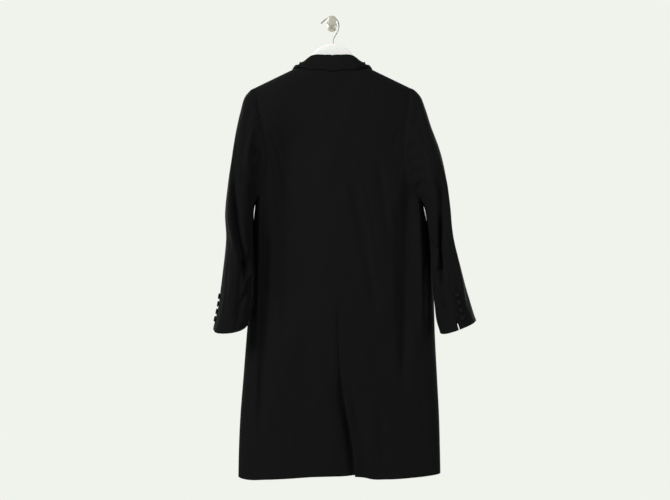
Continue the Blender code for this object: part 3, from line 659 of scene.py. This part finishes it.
# %% Sleeve tables
SLEEVE_SQUARE = 0.9
CUFF_SLIT = 1.2
CUFF_TILT = {"left": 12.0, "right": 3.0}
SLEEVE_ROWS = 130
BACK_SEAM = 4 * TOP_ROWS // 11
FRONT_SEAM = 18 * TOP_ROWS // 11

SLEEVES = {
    "left": table("outer_x outer_z inner_x inner_z mid_y half turn", """
-187.5 -165   -189 -440 -60 36   0
  -213 -186   -192 -455 -62 41   0
  -224 -222   -192 -469 -65 45  -1
  -234 -268 -191.6 -481 -69 48  -2
-243.5 -330 -191.5 -504 -74 50  -4
  -254 -400 -192.5 -532 -79 50  -8
  -261 -470   -193 -565 -83 50 -14
-257.5 -535   -194 -600 -86 50 -22
  -263 -600 -195.5 -640 -87 50 -30
  -272 -670 -197.5 -685 -87 50 -38
-281.5 -722 -201.5 -720 -85 50 -44
-289.5 -754   -206 -746 -85 50 -48"""),
    "right": table("outer_x outer_z inner_x inner_z mid_y half turn", """
  190 -165 223.5 -440 -60 36  0
  216 -184 230.5 -457 -62 41  0
229.5 -217   231 -471 -65 45  1
243.5 -262 231.5 -484 -69 48  2
  265 -322   233 -503 -74 50  5
278.5 -385 236.5 -532 -79 51  9
  286 -455   241 -565 -83 52 14
  293 -525   244 -600 -86 52 19
  311 -595   246 -640 -87 52 23
  329 -660   249 -685 -87 50 26
  343 -707   255 -728 -85 50 27
  351 -733   266 -766 -85 50 27""")}

# A row: start and end along the sleeve (0 armhole, 1 cuff), place round the arm there in
# degrees (0 outside, 90 behind, 180 inside, 270 in front), half width, sink, and 1 for a lip.
SLEEVE_FOLDS = {
    "left": table("start end at_start at_end spread sink lip", """
0.34 0.80  44 156 17  17 0
0.62 0.98  98 122 14   7 0
0.40 0.75 300 250 18   7 0
0.06 0.56 180 176 42 4.4 0
0.26 0.72  16  92 14  -9 0
0.52 0.72 172 112 10  11 0
0.58 0.78 178 128  8  -8 0
0.64 0.86 180 112 10   8 0
0.02 0.30  66  84  9  -5 0
0.02 0.18 104  82  5   6 0
0.04 0.24 120  94  6   6 0
0.10 0.30 136 106  7   6 0
0.40 0.60  30  78  9 2.4 1
0.66 0.98  52  66 10 1.6 1
0.30 0.52 330 276 11 2.6 1
0.55 0.78 322 262 11 2.4 1
0.10 0.34 300 276 12 1.8 1"""),
    "right": table("start end at_start at_end spread sink lip", """
0.32 0.78  58 128 20  15 0
0.46 0.76  84 124 14  12 0
0.66 0.98 126 118 13   5 0
0.40 0.80 290 250 18   7 0
0.06 0.56 180 176 42   6 0
0.38 0.92  24  62 12  -9 0
0.48 0.64 168 112 11  11 0
0.54 0.70 176 124  8  -9 0
0.60 0.78 180 112 10  11 0
0.70 0.90 172 112 10   6 0
0.00 0.26 102  66  5   5 0
0.00 0.30 114  74  5 6.5 0
0.01 0.32 126  84  5 6.5 0
0.03 0.36 139  94  6 6.5 0
0.22 0.56  96  84 10  -5 0
0.74 0.98  70  62 11 1.6 1
0.30 0.52 330 276 11 2.6 1
0.55 0.80 316 268 11 2.4 1
0.10 0.34 300 276 12 1.8 1""")}

# %% Sleeve surface
HEAD_PUFF = 3.0        # roll of the sleeve's head beyond the armhole seam


def armhole_loop(side):
    """Loop from the shoulder down the back's armhole edge and up the front's."""
    back, front = backs[side], fronts[side]
    edges = [panel[0][:TOP_ROWS + 1, -1] for panel in (back, front)]
    loop = np.concatenate([edges[0], edges[1][-2:0:-1]])
    loop[0] = (edges[0][0] + edges[1][0]) / 2
    loop[TOP_ROWS] = (edges[0][-1] + edges[1][-1]) / 2
    inward = np.concatenate([back[0][:TOP_ROWS + 1, -9] - edges[0],
                             (front[0][:TOP_ROWS + 1, -9] - edges[1])[-2:0:-1]])
    normal = np.concatenate([back[1][:TOP_ROWS + 1, -1], front[1][:TOP_ROWS + 1, -1][-2:0:-1]])
    tangent = unit(np.roll(loop, -1, axis=0) - np.roll(loop, 1, axis=0))
    square = unit(np.cross(tangent, normal))
    return loop, square * np.sign(np.sum(square * inward, axis=1, keepdims=True))


def sleeve_fold(side, v, angle):
    """Sum of the sleeve's folds at places v along and angle round it."""
    total = np.zeros_like(angle)
    for row in rows_of(SLEEVE_FOLDS[side]):
        along = (v - row["start"]) / (row["end"] - row["start"])
        line = row["at_start"] + (row["at_end"] - row["at_start"]) * along
        off = ((np.degrees(angle) - line + 180) % 360 - 180) / row["spread"]
        ends = ramp(0, 0.3, along) * ramp(1, 0.7, along)
        total += row["sink"] * ends * (lipped(off) if row["lip"] else np.exp(-off * off))
    return total


def sleeve_rings(side, loop):
    """Rings of superellipses from the armhole to the cuff."""
    rows = SLEEVES[side]
    station = np.linspace(0, 1, len(rows["outer_x"]))
    v = crowded(SLEEVE_ROWS, 0.01, 0.004, 6)
    read = {name: blend(values, station, v)[:, None] for name, values in rows.items()}
    angle = np.pi * np.arange(2 * TOP_ROWS)[None, :] / TOP_ROWS + np.radians(read["turn"])
    cos, sin = np.cos(angle), np.sin(angle)
    cos_s = np.sign(cos) * np.abs(cos)**SLEEVE_SQUARE
    sin_s = np.sign(sin) * np.abs(sin)**SLEEVE_SQUARE
    outer = np.stack([read["outer_x"], read["mid_y"], read["outer_z"]], -1)
    inner = np.stack([read["inner_x"], read["mid_y"], read["inner_z"]], -1)
    middle, reach = (outer + inner) / 2, (outer - inner) / 2
    size = np.linalg.norm(reach, axis=-1, keepdims=True)
    wavy = unevenness(120 * angle, 600 * v[:, None]) * ramp(0, 0.15, v[:, None])
    fold = sleeve_fold(side, v[:, None], angle) + wavy
    head = HEAD_PUFF * np.exp(-((v[:, None] - 0.035) / 0.03)**2) * ramp(-0.2, 0.6, cos)
    behind = sin_s[..., None] * np.array([0, -1.0, 0])
    rings = middle + reach * cos_s[..., None] + read["half"][..., None] * behind
    rings -= (fold - head)[..., None] * (reach / size * cos_s[..., None] + behind)
    rings[..., 2] -= ramp(0.7, 1.0, v)[:, None] * CUFF_TILT[side] * sin
    v_column = v[:, None, None]
    sooner_inside = (1 - 0.5 * ramp(0, -1, cos[:1]))[..., None]**(12 * v_column)
    fade = (1 - ramp(0, 0.45, v_column)) * sooner_inside
    return rings + fade * (loop - rings[0])[None], v


sleeves = {}
for side in ("left", "right"):
    loop, square = armhole_loop(side)
    rings, v = sleeve_rings(side, loop)
    wrapped = np.concatenate([rings[:, -2:], rings, rings[:, :2]], axis=1)
    normals = grid_normals(wrapped)[:, 2:-2]
    if np.sum(normals * (rings - rings.mean(axis=1, keepdims=True))) < 0:
        normals = -normals
    towards_body = np.minimum(np.sum(normals[0] * square, axis=1, keepdims=True), 0.0)
    normals[0] = unit(normals[0] - towards_body * square)
    sleeves[side] = rings, normals
    count = rings.shape[1]
    pieces = {"under": np.arange(BACK_SEAM, FRONT_SEAM + 1),
              "top": np.arange(FRONT_SEAM, count + BACK_SEAM + 1) % count}
    for part, columns in pieces.items():
        outer, facing = rings[:, columns].copy(), normals[:, columns]
        slit = ramp(0.86, 1.0, v)[:, None]
        free = [slit * (columns[edge] == BACK_SEAM) for edge in (0, -1)]
        for edge, towards in ((0, 3), (-1, -4)):
            if columns[edge] == BACK_SEAM:
                outer[:, edge] += unit(outer[:, towards] - outer[:, edge]) * CUFF_SLIT * slit
        name = f"sleeve_{side}_{part}"
        stand_for(shell(name, outer, facing, wool, first=free[0], last=free[1]), "wool", name)
    print("sleeve", side, "rings", rings.shape[:2])

# %% [markdown]
# ## Lapels
# Above the break each front turns back on itself. The lapel is the front's own surface
# again, one cloth's thickness further out, with a soft swell beside the roll line and its
# outer corner drawn up to a point.

# %% Lapels
LAPEL_PEAK = 10.0
LAPEL_PUFF = 2.5
LAPEL_CLEAR = 0.1
LAPEL = table("z width", """
-184 52
-194 74
-210 78
-245 66
-300 43
-340 23
-360 10""")


def lapel_grid(sign):
    """Rows down the roll line and columns out to the lapel's edge, laid on the front."""
    z = (LAPEL["z"][0] + (LAPEL["z"][-1] - LAPEL["z"][0]) * crowded(90, 0.02, 0.02, 5))[:, None]
    width = np.interp(-z, -LAPEL["z"], LAPEL["width"])
    share = crowded(46, 0.05, 0.05, 5)[None, :]
    x = roll_line(z, sign) + sign * (1.0 + width * share)
    high = z + LAPEL_PEAK * share * ramp(LAPEL["z"][2], LAPEL["z"][0], z)
    grid = skin(x, high, 1)
    puff = LAPEL_PUFF * np.exp(-((share - 0.12) / 0.18)**2)
    grid[..., 1] += LIFT + LAPEL_CLEAR + puff + front_lap(x, high, "right") + WALL
    return grid


for side, sign in (("left", -1), ("right", 1)):
    grid = lapel_grid(sign)
    normals = grid_normals(grid)
    normals *= np.sign(np.mean(normals[..., 1]))
    stand_for(shell("lapel_" + side, grid, normals, wool, top=1, last=1), "wool", "lapel_" + side)
    print("lapel", side, "grid", grid.shape[:2])

# %% [markdown]
# ## Collar
# The collar is one folded sheet carried round the neck: up from the neck seam as the stand,
# over at the roll, and down as the fall on the shoulders. Its section has seven points,
# which a smooth curve joins. The table gives the section's measures from the middle of the
# back to the front end, and both halves use it.

# %% Collar
ROLL_ROUND = 1.4
ROLL_DROP = 2.6
FALL_PUFF = 1.5
FALL_CLEAR = 0.6
COLLAR = table("seam_x seam_drop lean rise square fall_x fall_drop", """
 0 -42.9 8.5   25   0   0 -56.5
26 -31.4   8 26.5   0  28 -39.5
50 -18.6   6 24.5 0.1  53   -28
67  -8.7   3 10.5 0.4  76 -10.5
74  -2.5   1  7.5 0.8  92    -2
73     9   0  8.5   1 101    10
68    27   0  8.5   1 107    22
62    46   0    8   1 106    35""")


def on_shoulder(x, drop):
    """Point of the outer surface by its drop below the shoulder line, negative behind."""
    facing = np.where(drop < 0, -1.0, 1.0)
    z = shoulder_line(x) - np.abs(drop)
    return np.stack([x, skin_y(x, z, facing), z], axis=-1)


def shoulder_normal(x, drop, step=2.0):
    """Unit cross product of small steps across and over the shoulder."""
    across = on_shoulder(x + step, drop) - on_shoulder(x - step, drop)
    along = on_shoulder(x, drop + step) - on_shoulder(x, drop - step)
    return unit(np.cross(across, along))


def collar_middle():
    """Middle surface of the collar: a smooth section of seven points at each place round it."""
    rows = np.arange(len(COLLAR["seam_x"]), dtype=float)
    fine = rows[-1] * (1 - crowded(92, 0.01, 0.0, 5)[::-1])
    fine = np.unique(np.clip(fine, 0, rows[-1]))
    read = {name: blend(values, rows, fine) for name, values in COLLAR.items()}
    for name in ("seam_drop", "fall_drop"):
        root = blend(np.sign(COLLAR[name]) * np.sqrt(np.abs(COLLAR[name])), rows, fine)
        read[name] = root * np.abs(root)
    read = {name: np.concatenate([values[:0:-1], values]) for name, values in read.items()}
    sign = np.concatenate([-np.ones(len(fine) - 1), np.ones(len(fine))])
    seam = on_shoulder(HANGER_X + sign * read["seam_x"], read["seam_drop"])
    fall_x = HANGER_X + sign * read["fall_x"]
    fall, lift = on_shoulder(fall_x, read["fall_drop"]), shoulder_normal(fall_x, read["fall_drop"])
    out = unit((seam - np.array([HANGER_X, HANGER_Y, 0.0])) * np.array([1.0, 1.0, 0.0]))
    square = read["square"][:, None]
    up = unit((1 - square) * np.array([0.0, 0.0, 1.0]) + square * lift)
    out = unit(out - np.sum(out * up, axis=1, keepdims=True) * up)
    half = WALL / 2
    root = seam - out * half * (1 - square) + up * 0.6 * (1 - square)
    roll = root - out * read["lean"][:, None] + up * read["rise"][:, None]
    edge = fall + lift * (LIFT + half + FALL_CLEAR)
    bend = half + ROLL_ROUND
    path = np.stack([
        root,
        root * 0.6 + roll * 0.4 - out * 0.6,
        roll - up * ROLL_DROP,
        roll + out * bend + up * 0.4,
        roll + out * 2 * bend - up * ROLL_DROP,
        (roll + out * 2 * bend) * 0.45 + edge * 0.55 + unit(out + lift) * FALL_PUFF,
        edge], axis=1)
    return section_curve(path, crowded(58, 0.02, 0.02, 5)), out


def section_curve(path, share):
    """Cubic curve through each row's points, by their mean distance along the section."""
    at = lengths(path, 1).mean(axis=0)
    at = at / at[-1]
    slopes = np.gradient(path, at, axis=1)
    i = np.clip(np.searchsorted(at, share) - 1, 0, len(at) - 2)
    step = (at[i + 1] - at[i])[None, :, None]
    t = (share[None, :, None] - at[i][None, :, None]) / step
    return cubic(t, step, path[:, i], slopes[:, i], path[:, i + 1], slopes[:, i + 1])


middle, out = collar_middle()
normals = grid_normals(middle)
normals *= np.sign(np.sum(normals[:, -1] * out))
outer = middle + normals * WALL / 2
stand_for(shell("collar", outer, normals, wool, top=1, last=1), "wool", "collar")
print("collar grid", middle.shape[:2])

# %% [markdown]
# ## Buttons
# Coat buttons are turned from horn-like resin: a flat back, a raised rim, a dished middle and
# four holes. A lathe profile gives the disc. The holes are pits pressed into its face where a
# point is closer to a hole's centre than its radius, and two bars of thread cross them.

# %% Buttons
CUFF_BUTTON = 14.0
CUFF_BUTTONS = 4
CUFF_PITCH = 19.0
CUFF_FIRST = 26.0
CUFF_BESIDE = 2.0
FRONT_BUTTON = 25.0
FRONT_BUTTONS = 3
FRONT_PITCH = 118.0
FRONT_FIRST = 34.0
BUTTON_CLEAR = 0.2     # of a front button above the cloth
BUTTON_SLOPE = 0.16    # a button's thickness grows by this share of its width
BUTTON_LEAST = 1.0
HOLE_PLACE = 0.10      # of the button's width, from its middle to a hole both ways
HOLE_SIZE = 0.045      # of the button's width, a hole's radius
PLY = 0.4 * MM         # spacing of the thread's plies

horn, tree, shader = finish("turned_resin_horn", "#060607", 0.6, IOR=1.5, Specular_IOR_Level=0.12)
place = add(tree, "TexCoord").outputs["Object"]
streak = add(tree, "Mapping", {"Scale": (1, 1, 4)}, {"Vector": place}).outputs["Vector"]
grain = add(tree, "TexNoise", {"Scale": 260.0, "Detail": 4.0, "Distortion": 1.2}, {"Vector": streak})
colour = ramp_node(tree, grain.outputs["Fac"], ((0.42, "#060607"), (0.66, "#0d0c0e")))
tree.links.new(colour, shader.inputs["Base Color"])
thread = grained("polyester_thread", "#0b0b0c", 0.7, 1 / PLY, 1.0, 0.4, 0.1 * MM, Sheen_Weight=0.05)


def frame_of(axis):
    """Two unit vectors square to an axis and to each other."""
    axis = unit(np.asarray(axis, float))
    side = unit(np.cross(axis, [0.0, 0.0, 1.0] if abs(axis[2]) < 0.9 else [1.0, 0.0, 0.0]))
    return axis, side, np.cross(axis, side)


def disc(name, centre, axis, width, material):
    """Lathe profile round an axis, its face pressed in by exp(-(d / r)^6) at four holes."""
    axis, side, third = frame_of(axis)
    half, thick = width / 2, BUTTON_SLOPE * width + BUTTON_LEAST
    height = np.array([0, 0, 0.06, 0.35, 0.75, 0.93, 1.0, 0.97, 0.88, 0.66, 0.60, 0.60]) * thick
    radius = np.array([0.0, 0.78, 0.82, 1.0, 1.0, 0.975, 0.93, 0.86, 0.79, 0.68, 0.62, 0.0]) * half
    at, fine = np.arange(12.0), np.concatenate([np.linspace(0, 10, 34), np.linspace(10.04, 11, 26)])
    height, radius = blend(height, at, fine)[:, None], np.clip(blend(radius, at, fine), 0, half)[:, None]
    angle = np.linspace(0, 2 * np.pi, 73)[None, :]
    u, w = radius * np.cos(angle), radius * np.sin(angle)
    hole = np.hypot(np.abs(u) - HOLE_PLACE * width, np.abs(w) - HOLE_PLACE * width) / (HOLE_SIZE * width)
    pit = np.where(fine[:, None] > 9, 0.45 * thick * np.exp(-hole**6), 0.0)
    rings = (np.asarray(centre) + (height - pit)[..., None] * axis
             + u[..., None] * side + w[..., None] * third)
    return lathe(name, rings, material)


def tube_faces(rows, cols):
    """Quads between rings of points that close on themselves."""
    index = np.arange(rows * cols).reshape(rows, cols)
    return quads(np.concatenate([index, index[:, :1]], axis=1))


def lathe(name, rings, material):
    """Closed quads through rings whose last point repeats the first; the ends may be poles."""
    faces = tube_faces(len(rings), rings.shape[1] - 1)
    piece = mesh_piece(name, rings[:, :-1].reshape(-1, 3), faces, material)
    close_poles(piece)
    return piece


def close_poles(piece):
    """Merge the points that lie on each other at the poles and cap any open ring."""
    work = bmesh.new()
    work.from_mesh(piece.data)
    bmesh.ops.remove_doubles(work, verts=work.verts, dist=1e-7)
    open_edges = [edge for edge in work.edges if edge.is_boundary]
    if open_edges:
        bmesh.ops.holes_fill(work, edges=open_edges)
    bmesh.ops.recalc_face_normals(work, faces=work.faces)
    work.to_mesh(piece.data)
    work.free()
    piece.data.shade_smooth()


def stitches(name, centre, axis, width):
    """Two short bars of thread from hole to hole across the button's middle."""
    axis, side, third = frame_of(axis)
    reach, high = HOLE_PLACE * width, 0.6 * (BUTTON_SLOPE * width + BUTTON_LEAST)
    t = np.linspace(-1, 1, 17)
    bars = []
    for offset in (-reach, reach):
        lift = high + 0.055 * width * (1 - t**4) - 0.02 * width
        path = np.asarray(centre) + lift[:, None] * axis + (t * reach)[:, None] * side + offset * third
        bars.append(round_sweep(path, np.full(17, 0.028 * width), third, 10))
    points = np.concatenate([bar.reshape(-1, 3) for bar in bars])
    faces = tube_faces(*bars[0].shape[:2])
    faces = np.concatenate([faces, faces + bars[0].size // 3])
    piece = mesh_piece(name, points, faces, thread)
    close_poles(piece)
    return piece


def round_sweep(path, radius, across, sides):
    """Rings of a round section carried square to a path."""
    along = unit(np.gradient(path, axis=0))
    slant = np.sum(along * across, axis=1, keepdims=True) * along
    across = unit(np.broadcast_to(across, path.shape) - slant)
    third = np.cross(along, across)
    angle = (np.arange(sides) * 2 * np.pi / sides)[None, :, None]
    round_it = np.cos(angle) * across[:, None] + np.sin(angle) * third[:, None]
    return path[:, None] + radius[:, None, None] * round_it


def sew_button(name, centre, axis, width):
    """One button, which replaces the solid disc, and its thread as a piece of its own."""
    button = disc(name, centre, axis, width, horn)
    sewn = stitches(name + "_thread", centre, axis, width)
    stand_for(button, "button", name)
    stand_for(sewn, "wool")


def read_along(at, length, values):
    """Point or direction at a distance along a line."""
    return np.array([np.interp(at, length, values[:, k]) for k in range(3)])


for side in ("left", "right"):
    rings, normals = sleeves[side]
    column = BACK_SEAM - TOP_ROWS // 11
    line, seam = rings[:, column], rings[:, BACK_SEAM]
    length = lengths(line, 0)
    for i in range(CUFF_BUTTONS):
        at = length[-1] - CUFF_FIRST - i * CUFF_PITCH
        axis = unit(read_along(at, length, normals[:, column]))
        place, beside = read_along(at, length, line), read_along(at, length, seam)
        centre = place + unit(beside - place) * CUFF_BESIDE + axis * LIFT
        sew_button(f"cuff_button_{side}_{i + 1}", centre, axis, CUFF_BUTTON)
for i in range(FRONT_BUTTONS):
    x, z = HANGER_X + FRONT_SHIFT, BREAK_Z - FRONT_FIRST - i * FRONT_PITCH
    y = float(skin_y(np.array(x), np.array(z), 1)) + OVERLAP / 2 + LIFT + BUTTON_CLEAR
    sew_button(f"front_button_{i + 1}", (x, y, z), (0, 1, 0), FRONT_BUTTON)
print("buttons:", 2 * CUFF_BUTTONS + FRONT_BUTTONS)

# %% [markdown]
# ## Hanger, hook and knob
# The hanger is moulded in white polypropylene, plain and smooth, with a hump in the middle
# that takes the hook. It is a row of oval sections along x. The hook is a bent wire and the
# knob a metal disc on a stem, turned on a lathe.

# %% Hanger
HANGER = table("x top low half", """
  0    -53 -112   5
 14  -55.2 -112   5
 28  -61.5 -113   5
 42    -72 -116 5.2
 52    -84 -121 5.2
 62 -100.5 -128   5
 70 -111.2 -133   5
 84 -116.3 -138   5
112 -129.6 -149   5
140   -143 -160 4.6
163 -154.3 -168 3.6
170 -159.7 -168 2.6""")
HOOK = table("x z", """
  -27    -5
-20.5   1.5
  -11     8
  0.5  10.4
 10.5   6.4
 16.2    -3
 17.2   -14
 13.6   -25
    8 -34.5
  4.2   -42
  3.2 -52.7""")
WIRE = 1.4
KNOB = table("out radius", """
   0    0
   0 12.6
 0.4   13
 3.6   13
 4.4 12.2
   6    9
 7.5  8.7
65.5  8.7
66.6  9.4
67.4   12
68.4 12.9
  72   13
74.2 12.4
75.6 10.8
76.3    8
76.5    4
76.5    0""")


def mirrored(values, sign=1):
    """A half table's column run from its far end to the middle and out again."""
    return np.concatenate([sign * values[:0:-1], values])


plastic = grained("moulded_polypropylene", "#fafbf7", 0.3, 420.0, 2.0, 0.12, 0.15 * MM, IOR=1.49,
                  Subsurface_Weight=0.12, Subsurface_Scale=0.004)

x = mirrored(HANGER["x"], -1)
fine = np.linspace(x[0], x[-1], 181)[:, None]
top, low, half = (blend(mirrored(HANGER[name]), x, fine) for name in ("top", "low", "half"))
angle = np.linspace(0, 2 * np.pi, 41)[None, :]
cos, sin = np.cos(angle), np.sin(angle)
rings = np.stack([HANGER_X + fine + 0 * cos,
                  HANGER_Y + half * np.sign(cos) * np.abs(cos)**0.7,
                  (top + low) / 2 + (top - low) / 2 * np.sign(sin) * np.abs(sin)**0.8], axis=-1)
stand_for(lathe("hanger", rings, plastic), "hanger_plastic", "hanger")

# %% Hook and knob
steel = grained("drawn_steel_wire", "#929293", 0.48, 900.0, 2.0, 0.15, 0.05 * MM, Metallic=0.9)
nickel, tree, shader = finish("satin_nickel", "#d2cec2", 0.42, Metallic=0.45)
place = add(tree, "TexCoord").outputs["Object"]
brush = add(tree, "TexNoise", {"Scale": 700.0, "Detail": 3.0}, {"Vector": place}).outputs["Fac"]
satin = add(tree, "MapRange", {"To Min": 0.28, "To Max": 0.42}, {"Value": brush}).outputs["Result"]
tree.links.new(satin, shader.inputs["Roughness"])

t = np.linspace(0, 1, len(HOOK["x"]))
fine = np.concatenate([np.linspace(0, 0.01, 7)[:-1], np.linspace(0.01, 1, 190)])
hook_x, hook_z = blend(HOOK["x"], t, fine), blend(HOOK["z"], t, fine)
path = np.stack([hook_x, np.full_like(fine, HANGER_Y), hook_z], axis=-1)
tip = np.clip(lengths(path, 0) / WIRE, 0, 1)
radius = WIRE * np.sqrt(np.maximum(1 - (1 - tip)**2, 0.0))
rings = round_sweep(path, radius, np.array([0.0, 1.0, 0.0]), 20)
rings = np.concatenate([rings, rings[:, :1]], axis=1)
stand_for(lathe("hanger_hook", rings, steel), "hook_wire", "hanger_hook")

at = lengths(np.stack([KNOB["out"], KNOB["radius"]], axis=-1), 0)
fine = np.unique(np.concatenate([at, np.linspace(0, at[-1], 90)]))
out, radius = np.interp(fine, at, KNOB["out"])[:, None], np.interp(fine, at, KNOB["radius"])[:, None]
angle = np.linspace(0, 2 * np.pi, 97)[None, :]
rings = np.stack([radius * np.cos(angle), -out + 0 * angle, radius * np.sin(angle)], axis=-1)
stand_for(lathe("wall_knob", rings, nickel), "knob_metal", "wall_knob")
print("hanger, hook and knob made")

# %% [markdown]

# %% [markdown]
# ## Camera, light and floor
# The coat was seen straight on, level with its middle. Two large soft lamps in front and two
# behind stand in for a bright room, and an even pale surround fills the shadows. The floor
# lies as far below the knob as a real one would.

# %% Camera
PX = 2.45 * MM         # size of one pixel of the photograph at the coat
PHOTO_WIDTH = 670
COAT_PLANE_Y = -0.075
CENTRE_X = 0.0076
CENTRE_Z = -0.5618
LENS = 60.0
SENSOR = 36.0

camera_data = bpy.data.cameras.new("camera")
camera_data.lens = LENS
camera_data.sensor_width = SENSOR
camera = in_scene("camera", camera_data)
distance = PHOTO_WIDTH * PX * LENS / SENSOR
camera.location = (CENTRE_X, COAT_PLANE_Y - distance, CENTRE_Z)
camera.rotation_euler = (np.pi / 2, 0, 0)
bpy.context.scene.camera = camera
print("camera", round(distance, 2), "m from the coat")

# %% Light and floor
LAMPS = table("x y z size watts", """
-2.3 -2.1 1.1 1.5 92
 2.4   -2   0 1.2 22
-2.2    2 0.6 1.6 80
 2.2    2 0.1 1.6 80""")
FLOOR_Z = -1.9
FLOOR_HALF = 2.6


def lamp(name, place, size, watts):
    """Square area lamp aimed at the coat's middle."""
    data = bpy.data.lights.new(name, "AREA")
    data.size, data.energy = size, watts
    made = in_scene(name, data)
    made.location = place
    aim = Vector((0.0, -0.07, -0.55)) - Vector(place)
    made.rotation_euler = aim.to_track_quat("-Z", "Y").to_euler()


for i, row in enumerate(rows_of(LAMPS)):
    lamp(f"soft_lamp_{i + 1}", (row["x"], row["y"], row["z"]), row["size"], row["watts"])

ROOM_LIGHT = 0.36      # brightness of the surround as a lamp; the camera sees it at 1

world = bpy.data.worlds.new("pale_room")
world.use_nodes = True
room = world.node_tree
light = room.nodes["Background"]
light.inputs["Color"].default_value = linear("#f0f3ec")
light.inputs["Strength"].default_value = ROOM_LIGHT
wall = add(room, "Background", {"Color": linear("#f0f3ec"), "Strength": 1.0})
seen = add(room, "LightPath").outputs["Is Camera Ray"]
both = add(room, "MixShader", links={"Fac": seen})
room.links.new(light.outputs[0], both.inputs[1])
room.links.new(wall.outputs[0], both.inputs[2])
room.links.new(both.outputs[0], room.nodes["World Output"].inputs["Surface"])
bpy.context.scene.world = world
bpy.context.scene.view_settings.view_transform = "Standard"

floor_paint, tree, shader = finish("pale_floor", "#c6c6c1", 0.8)
place = add(tree, "TexCoord").outputs["Object"]
grit = add(tree, "TexNoise", {"Scale": 40.0, "Detail": 4.0}, {"Vector": place}).outputs["Fac"]
tint = ramp_node(tree, grit, ((0.3, "#c4c4bf"), (0.7, "#c9c9c5")))
tree.links.new(tint, shader.inputs["Base Color"])
floor_mesh = bpy.data.meshes.new("floor")
corners = [(x * FLOOR_HALF, y * FLOOR_HALF, FLOOR_Z) for x, y in ((-1, -1), (1, -1), (1, 1), (-1, 1))]
floor_mesh.from_pydata(corners, [], [(0, 1, 2, 3)])
floor_mesh.materials.append(floor_paint)
in_scene("floor", floor_mesh)
